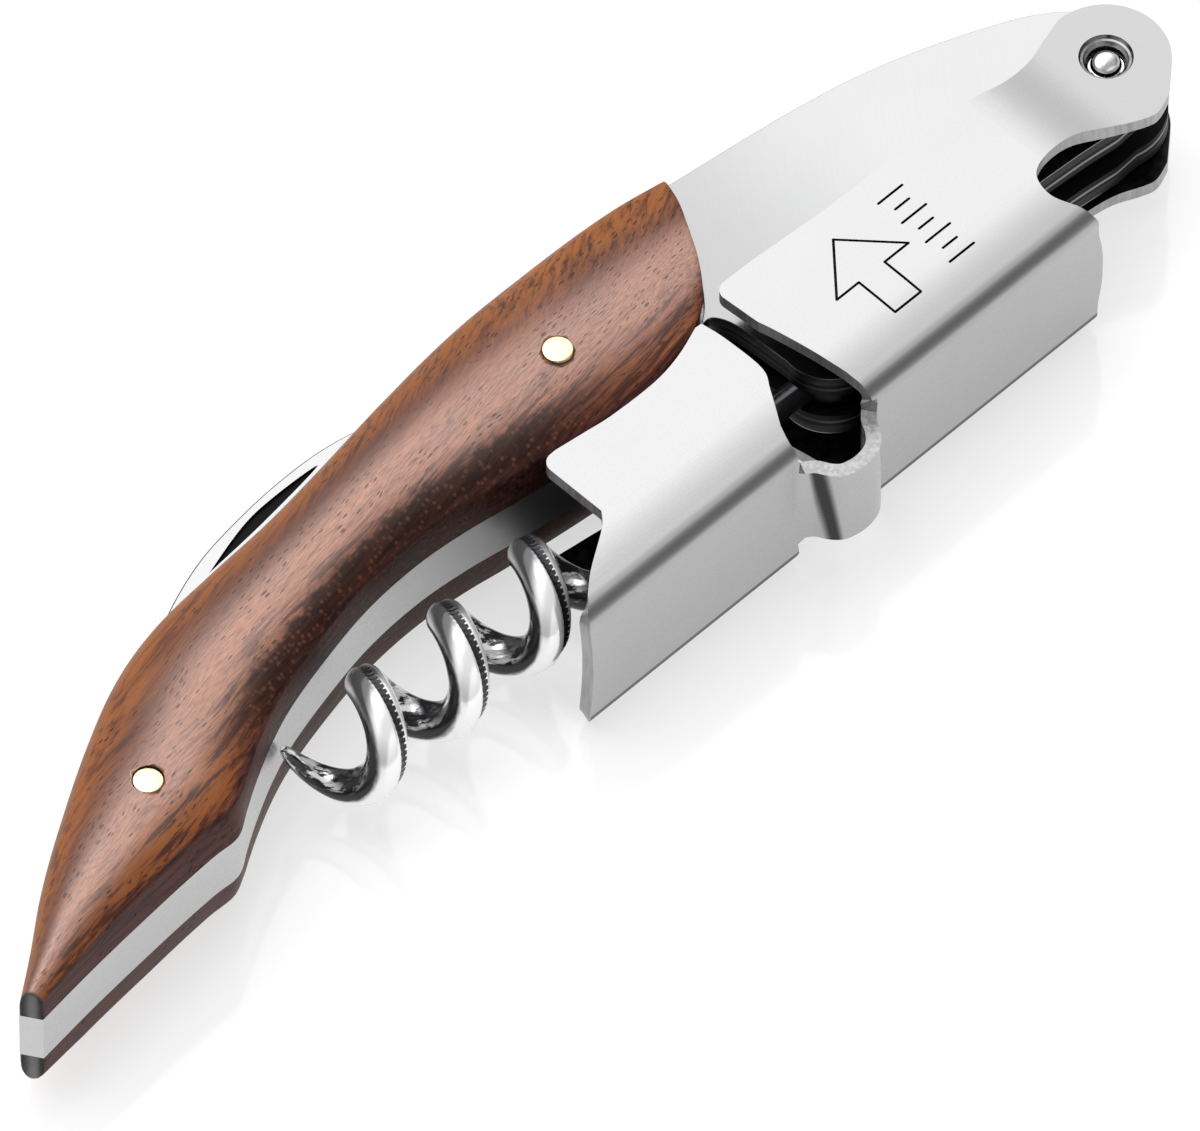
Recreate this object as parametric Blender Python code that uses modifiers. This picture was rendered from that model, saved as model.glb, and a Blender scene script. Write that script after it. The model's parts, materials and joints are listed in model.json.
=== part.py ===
"""A waiter's corkscrew, folded and lying on its side.

X runs along the handle towards the head, Y towards the back where the knife lies, and Z is the
thickness, so every hinge axis is along Z. The origin is the middle of the footprint. Outlines are
in millimetres from the lever's pivot, and heights are from the middle plane of the handle.
"""

import math

import bmesh
import bpy
from mathutils import Vector

MM = 0.001

# Where the lever's pivot is, from the origin.
PIVOT = (58.55, -1.88, 7.5)

# Heights above the middle plane, where the layers of the handle meet.
SPACER_TOP = 1.28
LINER_BOTTOM, LINER_TOP = 1.3, 2.5
BOLSTER_BOTTOM, BOLSTER_TOP = 2.52, 3.5
WASHER_BOTTOM, WASHER_TOP = 3.53, 3.77
SCALE_BOTTOM = 2.52
CROWN_HEIGHT = 4.93

# Pins, rivets and their clearances. A pin's reach is from the middle plane to the top of its dome.
BRASS_PIN_RADIUS = 1.2
WORM_PIN_RADIUS = 1.2
LEVER_RIVET_RADIUS = 1.5
BRASS_PIN_REACH, BRASS_PIN_DOME = 7.3, 0.12
LEVER_RIVET_REACH, LEVER_RIVET_DOME = 4.95, 0.95
PIN_CLEARANCE = 0.05
KNIFE_PIVOT = (-102.1, 1.42)
HANDLE_PIN = (-51.1, 8.6)
WORM_PIVOT = (-33.5, -3.4)
LEVER_PIVOT = (0.0, 0.0)
TAIL_RIVET = (-118.2, -4.3)
SPINE_RIVET = (-84.0, 3.15)
SPRING_RIVET = (-47.5, 5.05)
REAR_BOLSTER_RIVET = (-25.0, 9.0)
FRONT_BOLSTER_RIVET = (-12.0, 6.4)
SPACER_RIVET_RADIUS = 0.6
BOLSTER_RIVET_RADIUS = 0.9
ROUND_SIDES = 24

# The handle's underside and back in plan, from the tail to the head.
UNDERSIDE = [
    (-121.2, -6.65), (-114.5, -5.85), (-106.5, -5.15), (-101.4, -4.85), (-99.2, -4.9), (-98.0, -4.55),
    (-96.4, -3.5), (-93.8, -1.95), (-90.5, -0.25), (-87.0, 1.15), (-82.0, 2.5), (-76.5, 3.6),
    (-71.0, 3.95), (-66.0, 3.6), (-60.5, 2.75), (-53.0, 1.8), (-48.3, 1.65), (-44.5, 2.3), (-41.6, 3.2),
]
BACK = [
    (-122.2, -5.05), (-118.35, -2.25), (-114.3, 0.9), (-109.5, 4.1), (-102.3, 8.4), (-96.2, 11.35),
    (-90.5, 12.9), (-84.0, 13.5), (-77.5, 13.9), (-70.6, 14.8), (-63.0, 16.0), (-53.5, 17.1),
    (-43.8, 17.2), (-37.5, 16.75), (-32.5, 15.9),
]
HEAD_BACK = [
    (-31.9, 15.75), (-21.9, 14.45), (-14.9, 13.15), (-9.0, 11.4), (-2.8, 8.9), (0.8, 6.85), (3.2, 4.55),
]
# From the scale's lower front corner round the worm's lobe and along the head.
HEAD_UNDERSIDE = [(-39.9, 4.3), (-38.7, 4.4), (-37.9, 3.0), (-37.6, 0.5)]
HEAD_THROAT = [(-29.4, -6.0), (-24.5, -4.6), (-16.0, -4.1), (-8.0, -4.4), (-3.6, -4.85)]
WORM_LOBE_RADIUS = 4.0
HEAD_RADIUS = 4.9
EAR_RADIUS = 5.1

# The scale's front end, where it meets the bolster.
SCALE_FRONT = [(-39.9, 4.4), (-38.4, 5.5), (-36.4, 8.0), (-34.8, 10.7), (-33.4, 13.3), (-32.5, 15.9)]
BOLSTER_GAP = 0.1

# Spacers and spring, as heights above the underside's outline.
SPINE_HEIGHT = 2.0
SPRING_GAP = 0.15
SPRING_HEIGHT = 1.2
TAIL_BLOCK = [(-118.8, -2.5), (-116.5, -3.0), (-113.5, -3.4)]
SPRING_FROM, SPRING_TO, SPRING_WIDENS = -97.0, -43.5, -55.0
SPRING_ROOT = [(-51.0, 6.2), (-43.9, 6.2)]
BACK_SPACER_END = -2.5
BACK_SPACER_INNER = [
    (-4.5, 6.6), (-9.0, 4.6), (-16.0, 2.6), (-26.0, 2.4), (-33.5, 2.6), (-39.0, 6.6), (-47.0, 6.6),
    (-56.5, 6.6),
]
BUSH_RADIUS = 2.4
WASHER_RADIUS = 3.4

# The scales: crown height from the tail (0) to the bolster (1), as a part of CROWN_HEIGHT.
CROWN_ALONG = [
    (0.0, 0.62), (0.06, 0.8), (0.16, 0.94), (0.3, 1.0), (0.72, 1.0), (0.86, 0.9), (0.95, 0.74), (1.0, 0.6),
]
# The section from the underside (0) to the back (1): over most of the handle, over the tail with
# its flat flank, and the nearly square one at the bolster.
ROUND_SECTION = [
    (0.0, 0.0), (0.004, 0.3), (0.012, 0.52), (0.03, 0.68), (0.13, 0.82), (0.27, 0.93), (0.42, 0.99),
    (0.55, 1.0), (0.7, 0.95), (0.83, 0.83), (0.92, 0.68), (0.97, 0.5), (0.99, 0.3), (1.0, 0.0),
]
FLAT_SECTION = [
    (0.0, 0.0), (0.013, 0.25), (0.028, 0.48), (0.052, 0.7), (0.14, 0.81), (0.27, 0.93), (0.42, 0.99),
    (0.55, 1.0), (0.7, 0.95), (0.83, 0.83), (0.92, 0.68), (0.97, 0.5), (0.99, 0.3), (1.0, 0.0),
]
SQUARE_SECTION = [
    (0.0, 0.0), (0.004, 0.4), (0.012, 0.66), (0.05, 0.83), (0.14, 0.9), (0.28, 0.96), (0.42, 0.99),
    (0.55, 1.0), (0.7, 0.98), (0.83, 0.94), (0.95, 0.86), (0.985, 0.7), (0.995, 0.42), (1.0, 0.0),
]
FLANK_ENDS = (0.26, 0.30)
SQUARE_STARTS = 0.84
SQUARE_GROWS = 1.5
SCALE_STATIONS = 30
# The part of the scale, from the bolster, over which its sections turn to follow the front end.
FRONT_PART = 0.25

# The knife: its spine from the tang to the tip, and its edge back again.
BLADE_SPINE = [
    (-102.6, 3.9), (-100.0, 4.9), (-97.0, 7.6), (-92.5, 11.3), (-88.1, 14.4), (-82.0, 16.8), (-76.0, 17.8),
    (-71.0, 18.1), (-67.0, 17.9), (-63.5, 17.1), (-60.5, 15.4), (-58.6, 13.2),
]
BLADE_EDGE = [(-62.5, 11.0), (-69.0, 9.6), (-77.0, 8.9), (-85.0, 7.2), (-92.0, 4.3), (-98.6, 0.9), (-101.8, -1.2)]
BLADE_HALF_THICKNESS = 0.8
TANG_RADIUS = 2.9
TANG_HALF_THICKNESS = 1.25
NAIL_NICK = [(-81.9, 15.55), (-75.4, 16.1), (-68.7, 17.05), (-75.6, 17.15)]
NAIL_NICK_DEPTH = 0.3

# The worm.
WORM_AXIS_Y = -3.5
WORM_TIP_X = -89.8
WORM_PITCH = 8.75
WORM_TURNS = 5
WORM_RADIUS = 3.1
WORM_WIRE_RADIUS = 1.6
WORM_SHANK_RADIUS = 1.15
WORM_TIP_ANGLE = math.radians(27.6)
WORM_TAPER_TURNS = 0.45
WORM_TIP_PART = 0.16
WORM_STEPS = 12
# Past the last turn the wire runs in to the axis: steps, turns and pitches that this takes.
RUN_IN_STEPS, RUN_IN_TURNS, RUN_IN_PITCHES = 6, 0.35, 0.62
SHANK_END = 1.6
WORM_EYE_RADIUS = 3.2
WORM_EYE_HALF_THICKNESS = 1.2

# The lever, a sheet folded to a channel whose web is at -Y.
SHEET = 1.2
LEVER_HALF_WIDTH = 7.5
WALL_Z = LEVER_HALF_WIDTH - SHEET / 2
EAR_Z = 4.4
WEB_Y = -10.85
BEND_RADIUS = 1.2
WEB_HALF = WALL_Z - BEND_RADIUS
BEND_LENGTH = BEND_RADIUS * math.pi / 2
WALL_START = WEB_HALF + BEND_LENGTH
JOGGLE_START, JOGGLE_END = -10.4, -4.6
STRAP_HALF = 4.1
STEP_BUMP = [
    (-45.5, WEB_Y), (-44.6, -10.35), (-43.85, -9.85), (-43.0, -10.4), (-42.2, -11.7), (-41.5, -12.95),
    (-40.3, -13.8), (-38.9, -13.45), (-37.9, -12.5), (-37.2, -11.3), (-36.4, WEB_Y),
]
EAR_HOLE_RADIUS = LEVER_RIVET_RADIUS + 0.06
RECESS_RADIUS, RECESS_DEPTH = 2.15, 0.8
BEND_STEPS, JOGGLE_STEPS, BUMP_STEPS = 4, 5, 14

# The lever's outline. Wall points are in plan; web points are along the web and across from its middle.
WEB_HEAD_END = [(-11.9, 1.8), (-12.1, 2.7), (-12.6, 3.5), (-12.2, 4.5), (-12.3, 6.0)]
LIFTER_GAP = [
    (-13.2, -9.4), (-13.8, -7.8), (-13.6, -6.2), (-12.8, -5.2), (-10.9, -4.6), (-7.8, -4.3), (-4.8, -5.1),
    (-2.1, -6.3), (-0.8, -6.55), (0.9, -5.95),
]
WALL_TOP = [
    (-2.6, 4.4), (-5.4, 3.6), (-8.9, 3.0), (-12.0, 3.15), (-18.1, 3.4), (-26.4, 3.5), (-34.7, 4.0),
]
FIRST_STEP_HEAD_SIDE = [(-38.5, -0.5), (-38.1, -2.1), (-37.5, -5.2), (-37.0, -8.5)]
BESIDE_STRAP = [
    (-36.9, WEB_HALF + 0.9), (-36.9, STRAP_HALF + 0.6), (-37.4, STRAP_HALF), (-44.4, STRAP_HALF),
    (-45.0, STRAP_HALF + 0.5), (-44.8, WEB_HALF + 1.4),
]
FIRST_STEP_TIP_SIDE = [(-44.2, -8.7), (-42.4, -5.8), (-41.4, -3.9), (-41.4, 0.0), (-41.7, 2.4)]
LOW_WALL_TOP = [(-42.3, 2.45), (-45.2, 1.45), (-48.3, 0.95), (-52.7, 1.0), (-55.2, 1.3), (-58.2, 1.7)]
LOW_WALL_END = [(-59.6, -5.0), (-60.6, -6.1), (-64.0, -7.95)]
WEB_TIP = [(-66.2, WALL_START - 1.2), (-67.4, WEB_HALF + 0.4), (-67.2, 3.2), (-66.9, 1.2)]


# ---------------------------------------------------------------- scene

def clear_scene():
    for obj in list(bpy.data.objects):
        bpy.data.objects.remove(obj, do_unlink=True)


def new_collection(name):
    collection = bpy.data.collections.new(name)
    bpy.context.scene.collection.children.link(collection)
    return collection


clear_scene()
PARTS = new_collection("waiters_corkscrew")
CUTTERS = new_collection("cutters")


def pivot_empty(name, place, parent=None):
    """An empty on a joint's axis, in the middle plane of the handle."""
    empty = bpy.data.objects.new(name, None)
    PARTS.objects.link(empty)
    empty.parent = parent
    empty.location = Vector(place) * MM
    return empty


CORKSCREW = pivot_empty("corkscrew_pivot", PIVOT)
LEVER_AXIS = pivot_empty("lever_axis", (0, 0, 0), CORKSCREW)
WORM_AXIS = pivot_empty("worm_axis", (*WORM_PIVOT, 0), CORKSCREW)
KNIFE_AXIS = pivot_empty("knife_axis", (*KNIFE_PIVOT, 0), CORKSCREW)


def material(name, colour, roughness, metallic):
    found = bpy.data.materials.new(name)
    found.use_nodes = True
    shader = found.node_tree.nodes["Principled BSDF"]
    shader.inputs["Base Color"].default_value = (*colour, 1)
    shader.inputs["Roughness"].default_value = roughness
    shader.inputs["Metallic"].default_value = metallic
    return found


FINISHES = {
    "steel": ((0.62, 0.62, 0.63), 0.3, 1.0),
    "polished": ((0.75, 0.75, 0.76), 0.1, 1.0),
    "spring": ((0.42, 0.42, 0.44), 0.35, 1.0),
    "wood": ((0.30, 0.12, 0.055), 0.4, 0.0),
    "brass": ((0.85, 0.68, 0.36), 0.22, 1.0),
}


def finish(obj, look, parent, smooth_angle=35):
    """Gives the object its own material, its parent and its shading."""
    colour, roughness, metallic = FINISHES[look]
    obj.data.materials.clear()
    obj.data.materials.append(material(obj.name, colour, roughness, metallic))
    obj.data.shade_smooth()
    obj.data.set_sharp_from_angle(angle=math.radians(smooth_angle))
    if obj.name not in PARTS.objects:
        for collection in list(obj.users_collection):
            collection.objects.unlink(obj)
        PARTS.objects.link(obj)
    corner = Vector((0, 0, 0))
    if parent is not CORKSCREW:
        corner = parent.location
    obj.parent = parent
    obj.location = obj.location - corner
    return obj


# ---------------------------------------------------------------- shapes

def smooth(points, steps=2):
    """Points of a Catmull-Rom curve through the given points, ends included."""
    ends = [points[0], *points, points[-1]]
    found = []
    for i in range(1, len(ends) - 2):
        a, b, c, d = (Vector(p) for p in ends[i - 1:i + 3])
        for step in range(steps):
            t = step / steps
            p = 0.5 * (2 * b + (c - a) * t + (2 * a - 5 * b + 4 * c - d) * t ** 2
                       + (3 * b - a - 3 * c + d) * t ** 3)
            found.append(tuple(p))
    found.append(tuple(points[-1]))
    return found


def arc(centre, radius, start, end, steps):
    """Points of an arc, its angles in degrees."""
    angles = [math.radians(start + (end - start) * i / steps) for i in range(steps + 1)]
    return [(centre[0] + radius * math.cos(a), centre[1] + radius * math.sin(a)) for a in angles]


def raised(points, height):
    """The outline shifted to its left by height, so inwards from the handle's underside."""
    found = []
    for i, point in enumerate(points):
        before = Vector(points[max(i - 1, 0)])
        after = Vector(points[min(i + 1, len(points) - 1)])
        along = (after - before).normalized()
        found.append((point[0] - along.y * height, point[1] + along.x * height))
    return found


def welded_mesh(obj, name):
    """Replaces a curve object by a mesh object with its caps welded on."""
    graph = bpy.context.evaluated_depsgraph_get()
    graph.update()
    mesh = bpy.data.meshes.new_from_object(obj.evaluated_get(graph))
    matrix = obj.matrix_world.copy()
    bpy.data.objects.remove(obj, do_unlink=True)
    bm = bmesh.new()
    bm.from_mesh(mesh)
    bmesh.ops.remove_doubles(bm, verts=bm.verts, dist=0.002 * MM)
    bmesh.ops.recalc_face_normals(bm, faces=bm.faces)
    bm.to_mesh(mesh)
    bm.free()
    made = bpy.data.objects.new(name, mesh)
    PARTS.objects.link(made)
    made.matrix_world = matrix
    return made


def plate(name, outline, bottom, top, holes=()):
    """A flat plate between two heights, with a round hole for each (centre, radius)."""
    curve = bpy.data.curves.new(name, "CURVE")
    curve.dimensions = "2D"
    curve.fill_mode = "BOTH"
    curve.extrude = (top - bottom) / 2 * MM
    rounds = [arc(centre, radius, 0, 360, ROUND_SIDES)[:-1] for centre, radius in holes]
    for points in [outline, *rounds]:
        spline = curve.splines.new("POLY")
        spline.points.add(len(points) - 1)
        for target, (x, y) in zip(spline.points, points):
            target.co = (x * MM, y * MM, 0, 1)
        spline.use_cyclic_u = True
    obj = bpy.data.objects.new(name + "_outline", curve)
    PARTS.objects.link(obj)
    obj.location.z = (top + bottom) / 2 * MM
    bpy.context.view_layer.update()
    return welded_mesh(obj, name)


def round_bar(name, centre, radius, bottom, top):
    bpy.ops.mesh.primitive_cylinder_add(
        vertices=ROUND_SIDES,
        radius=radius * MM,
        depth=(top - bottom) * MM,
        location=(centre[0] * MM, centre[1] * MM, (top + bottom) / 2 * MM),
    )
    obj = bpy.context.object
    obj.name = name
    return obj


def turned(name, centre, profile):
    """A turned piece on an axis along Z, from a profile of (radius, height), top to bottom."""
    mesh = bpy.data.meshes.new(name)
    points = [(radius * MM, 0, height * MM) for radius, height in profile]
    mesh.from_pydata(points, [(i, i + 1) for i in range(len(points) - 1)], [])
    obj = bpy.data.objects.new(name, mesh)
    PARTS.objects.link(obj)
    obj.location = (centre[0] * MM, centre[1] * MM, 0)
    screw = obj.modifiers.new("turn", "SCREW")
    screw.steps = ROUND_SIDES
    screw.render_steps = ROUND_SIDES
    screw.use_merge_vertices = True
    screw.merge_threshold = 0.002 * MM
    return obj


def boolean(obj, other, operation="DIFFERENCE"):
    """Cuts or joins with another object, which becomes a hidden helper."""
    for collection in list(other.users_collection):
        collection.objects.unlink(other)
    CUTTERS.objects.link(other)
    other.parent = CORKSCREW
    other.hide_render = True
    other.display_type = "WIRE"
    modifier = obj.modifiers.new(operation.lower(), "BOOLEAN")
    modifier.operation = operation
    modifier.solver = "EXACT"
    modifier.object = other
    return obj


# ---------------------------------------------------------------- frame

def underside_line():
    return smooth(UNDERSIDE)


def back_line():
    return smooth(BACK)


def head_lower_line():
    """The head's lower outline, from the scale's corner round the worm's lobe to the head's round."""
    lobe = arc(WORM_PIVOT, WORM_LOBE_RADIUS, 170, 290, 8)
    return smooth(HEAD_UNDERSIDE) + lobe + smooth(HEAD_THROAT)


def head_round():
    return arc(LEVER_PIVOT, HEAD_RADIUS, -105, 35, 12)


def frame_outline():
    return (underside_line() + head_lower_line() + head_round()
            + list(reversed(smooth(HEAD_BACK))) + list(reversed(back_line())))


def frame_holes():
    slack = PIN_CLEARANCE
    return [
        (KNIFE_PIVOT, BRASS_PIN_RADIUS + slack),
        (HANDLE_PIN, BRASS_PIN_RADIUS + slack),
        (WORM_PIVOT, WORM_PIN_RADIUS + slack),
        (LEVER_PIVOT, LEVER_RIVET_RADIUS + slack),
        (TAIL_RIVET, SPACER_RIVET_RADIUS + slack),
        (SPINE_RIVET, SPACER_RIVET_RADIUS + slack),
        (SPRING_RIVET, SPACER_RIVET_RADIUS + slack),
        (REAR_BOLSTER_RIVET, BOLSTER_RIVET_RADIUS + slack),
        (FRONT_BOLSTER_RIVET, BOLSTER_RIVET_RADIUS + slack),
    ]


def liners():
    near = plate("near_liner", frame_outline(), LINER_BOTTOM, LINER_TOP, frame_holes())
    finish(near, "steel", CORKSCREW)
    far = plate("far_liner", frame_outline(), -LINER_TOP, -LINER_BOTTOM, frame_holes())
    finish(far, "steel", CORKSCREW)


def spine_spacer():
    """The strip along the underside, with a block that closes the tail."""
    lower = underside_line()
    upper = [p for p in raised(lower, SPINE_HEIGHT) if p[0] > TAIL_BLOCK[-1][0] + SPINE_HEIGHT / 2]
    tail = BACK[:1] + TAIL_BLOCK
    slack = PIN_CLEARANCE
    holes = [
        (TAIL_RIVET, SPACER_RIVET_RADIUS + slack),
        (SPINE_RIVET, SPACER_RIVET_RADIUS + slack),
    ]
    outline = lower + list(reversed(upper)) + list(reversed(tail))
    finish(plate("spine_spacer", outline, -SPACER_TOP, SPACER_TOP, holes), "steel", CORKSCREW)


def back_spacer():
    """The spacer between the liners along the back, from the handle's middle pin to the head."""
    back = [p for p in back_line() if p[0] > BACK_SPACER_INNER[-1][0]]
    top = back + [p for p in smooth(HEAD_BACK) if p[0] < BACK_SPACER_END]
    outline = BACK_SPACER_INNER + top
    slack = PIN_CLEARANCE
    holes = [
        (HANDLE_PIN, BRASS_PIN_RADIUS + slack),
        (REAR_BOLSTER_RIVET, BOLSTER_RIVET_RADIUS + slack),
        (FRONT_BOLSTER_RIVET, BOLSTER_RIVET_RADIUS + slack),
    ]
    finish(plate("back_spacer", outline, -SPACER_TOP, SPACER_TOP, holes), "steel", CORKSCREW)


def knife_spring():
    """The leaf spring on the spine spacer, with a wide root that its rivet holds."""
    line = [p for p in underside_line() if SPRING_FROM < p[0] < SPRING_TO]
    bottom = raised(line, SPINE_HEIGHT + SPRING_GAP)
    top = raised(line, SPINE_HEIGHT + SPRING_GAP + SPRING_HEIGHT)
    top = [p for p in top if p[0] < SPRING_WIDENS] + SPRING_ROOT
    holes = [(SPRING_RIVET, SPACER_RIVET_RADIUS + PIN_CLEARANCE)]
    outline = bottom + list(reversed(top))
    finish(plate("knife_spring", outline, -SPACER_TOP, SPACER_TOP, holes), "spring", CORKSCREW)


def bolsters():
    front = [(x + BOLSTER_GAP, y) for x, y in smooth(SCALE_FRONT)]
    outline = (head_lower_line()[1:] + head_round() + list(reversed(smooth(HEAD_BACK)))
               + list(reversed(front)))
    slack = PIN_CLEARANCE
    holes = [
        (WORM_PIVOT, WORM_PIN_RADIUS + slack),
        (LEVER_PIVOT, LEVER_RIVET_RADIUS + slack),
        (REAR_BOLSTER_RIVET, BOLSTER_RIVET_RADIUS + slack),
        (FRONT_BOLSTER_RIVET, BOLSTER_RIVET_RADIUS + slack),
    ]
    near = plate("near_bolster", outline, BOLSTER_BOTTOM, BOLSTER_TOP, holes)
    finish(near, "polished", CORKSCREW)
    far = plate("far_bolster", outline, -BOLSTER_TOP, -BOLSTER_BOTTOM, holes)
    finish(far, "polished", CORKSCREW)


# ---------------------------------------------------------------- scales

def interpolate(table, x):
    for (x0, y0), (x1, y1) in zip(table, table[1:]):
        if x <= x1:
            return y0 + (y1 - y0) * (x - x0) / (x1 - x0)
    return table[-1][1]


def along_line(points, part):
    """The point at a part, 0 to 1, of a polyline's length."""
    lengths = [math.dist(a, b) for a, b in zip(points, points[1:])]
    left = part * sum(lengths)
    for (a, b), length in zip(zip(points, points[1:]), lengths):
        if left <= length:
            return Vector(a).lerp(Vector(b), left / length)
        left -= length
    return Vector(points[-1])


def scale(name, side):
    """A crowned scale, lofted through sections from the tail to the bolster."""
    lower = underside_line() + [SCALE_FRONT[0]]
    back = back_line()
    chord_start, chord_end = Vector(SCALE_FRONT[0]), Vector(SCALE_FRONT[-1])
    bm = bmesh.new()
    rings = []
    for i in range(SCALE_STATIONS + 1):
        s = i / SCALE_STATIONS
        start, end = along_line(lower, s), along_line(back, s)
        flat = min(1.0, max(0.0, (FLANK_ENDS[1] - s) / (FLANK_ENDS[1] - FLANK_ENDS[0])))
        square = max(0.0, (s - SQUARE_STARTS) / (1 - SQUARE_STARTS)) ** SQUARE_GROWS
        crown = interpolate(CROWN_ALONG, s) * CROWN_HEIGHT
        ring = []
        for sections in zip(ROUND_SECTION, FLAT_SECTION, SQUARE_SECTION):
            plain, flank, box = (Vector(point) for point in sections)
            t, height = plain + (flank - plain) * flat + (box - plain) * square
            bulge = along_line(SCALE_FRONT, t) - chord_start.lerp(chord_end, t)
            place = start.lerp(end, t) + bulge * max(0.0, 1 - (1 - s) / FRONT_PART) ** 2
            ring.append(bm.verts.new((
                place.x * MM, place.y * MM, side * (SCALE_BOTTOM + height * crown) * MM)))
        rings.append(ring)
    for ring, after in zip(rings, rings[1:]):
        for j in range(len(ring)):
            k = (j + 1) % len(ring)
            bm.faces.new((ring[j], ring[k], after[k], after[j]))
    bm.faces.new(rings[0])
    bm.faces.new(rings[-1])
    bmesh.ops.recalc_face_normals(bm, faces=bm.faces)
    mesh = bpy.data.meshes.new(name)
    bm.to_mesh(mesh)
    bm.free()
    obj = bpy.data.objects.new(name, mesh)
    PARTS.objects.link(obj)
    for pin in (KNIFE_PIVOT, HANDLE_PIN):
        hole = round_bar(name + "_pin_hole", pin, BRASS_PIN_RADIUS + PIN_CLEARANCE, -12, 12)
        boolean(obj, hole)
    finish(obj, "wood", CORKSCREW)


# ---------------------------------------------------------------- pins and rivets

def domed_pin(name, centre, radius, reach, dome, look):
    """A pin with low domed ends, symmetric about the middle plane."""
    steps = 4
    top = [(radius * math.sin(a), reach - dome + dome * math.cos(a))
           for a in (math.pi / 2 * i / steps for i in range(steps + 1))]
    profile = top + [(r, -z) for r, z in reversed(top)]
    finish(turned(name, centre, profile), look, CORKSCREW)


def flush_rivet(name, centre, radius, half_length):
    finish(round_bar(name, centre, radius, -half_length, half_length), "steel", CORKSCREW)


def ring(name, outer, bottom, top, look):
    """A washer or bush on the lever's rivet."""
    outline = arc(LEVER_PIVOT, outer, 0, 360, ROUND_SIDES)[:-1]
    holes = [(LEVER_PIVOT, LEVER_RIVET_RADIUS + PIN_CLEARANCE)]
    finish(plate(name, outline, bottom, top, holes), look, CORKSCREW)


def pins():
    domed_pin("knife_pivot_pin", KNIFE_PIVOT, BRASS_PIN_RADIUS, BRASS_PIN_REACH, BRASS_PIN_DOME, "brass")
    domed_pin("handle_pin", HANDLE_PIN, BRASS_PIN_RADIUS, BRASS_PIN_REACH, BRASS_PIN_DOME, "brass")
    flush_rivet("worm_pin", WORM_PIVOT, WORM_PIN_RADIUS, BOLSTER_TOP)
    domed_pin("lever_rivet", LEVER_PIVOT, LEVER_RIVET_RADIUS, LEVER_RIVET_REACH, LEVER_RIVET_DOME, "polished")
    flush_rivet("tail_rivet", TAIL_RIVET, SPACER_RIVET_RADIUS, LINER_TOP)
    flush_rivet("spine_rivet", SPINE_RIVET, SPACER_RIVET_RADIUS, LINER_TOP)
    flush_rivet("spring_rivet", SPRING_RIVET, SPACER_RIVET_RADIUS, LINER_TOP)
    flush_rivet("rear_bolster_rivet", REAR_BOLSTER_RIVET, BOLSTER_RIVET_RADIUS, BOLSTER_TOP)
    flush_rivet("front_bolster_rivet", FRONT_BOLSTER_RIVET, BOLSTER_RIVET_RADIUS, BOLSTER_TOP)
    ring("head_bush", BUSH_RADIUS, -SPACER_TOP, SPACER_TOP, "steel")
    ring("near_washer", WASHER_RADIUS, WASHER_BOTTOM, WASHER_TOP, "spring")
    ring("far_washer", WASHER_RADIUS, -WASHER_TOP, -WASHER_BOTTOM, "spring")


# ---------------------------------------------------------------- knife

def knife_blade():
    outline = smooth(BLADE_SPINE) + smooth(BLADE_EDGE)
    blade = plate("knife_blade", outline, -BLADE_HALF_THICKNESS, BLADE_HALF_THICKNESS)
    tang = round_bar("knife_tang", KNIFE_PIVOT, TANG_RADIUS, -TANG_HALF_THICKNESS, TANG_HALF_THICKNESS)
    boolean(blade, tang, "UNION")
    boolean(blade, round_bar("knife_hole", KNIFE_PIVOT, BRASS_PIN_RADIUS + PIN_CLEARANCE, -3, 3))
    nick = smooth(NAIL_NICK + NAIL_NICK[:1], 3)[:-1]
    low = BLADE_HALF_THICKNESS - NAIL_NICK_DEPTH
    boolean(blade, plate("nail_nick", nick, low, low + 1))
    finish(blade, "steel", KNIFE_AXIS)


# ---------------------------------------------------------------- worm

def worm_points():
    """The wire's centre line from the tip to the eye, each point with its radius."""
    found = []
    count = WORM_TURNS * WORM_STEPS
    for i in range(count + 1):
        turns = i / WORM_STEPS
        angle = WORM_TIP_ANGLE - 2 * math.pi * turns
        taper = min(1.0, WORM_TIP_PART + (1 - WORM_TIP_PART) * turns / WORM_TAPER_TURNS)
        found.append((
            WORM_TIP_X + WORM_PITCH * turns,
            WORM_AXIS_Y + WORM_RADIUS * math.cos(angle),
            WORM_RADIUS * math.sin(angle),
            WORM_WIRE_RADIUS * taper,
        ))
    for i in range(1, RUN_IN_STEPS + 1):
        part = i / RUN_IN_STEPS
        angle = WORM_TIP_ANGLE - 2 * math.pi * (WORM_TURNS + RUN_IN_TURNS * part)
        swing = WORM_RADIUS * (1 - part) ** 1.2
        found.append((
            WORM_TIP_X + WORM_PITCH * (WORM_TURNS + RUN_IN_PITCHES * part),
            WORM_AXIS_Y + swing * math.cos(angle),
            swing * math.sin(angle),
            WORM_WIRE_RADIUS + (WORM_SHANK_RADIUS - WORM_WIRE_RADIUS) * part ** 2,
        ))
    found.append((WORM_PIVOT[0] - SHANK_END, WORM_AXIS_Y, 0.0, WORM_SHANK_RADIUS))
    return found


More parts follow.
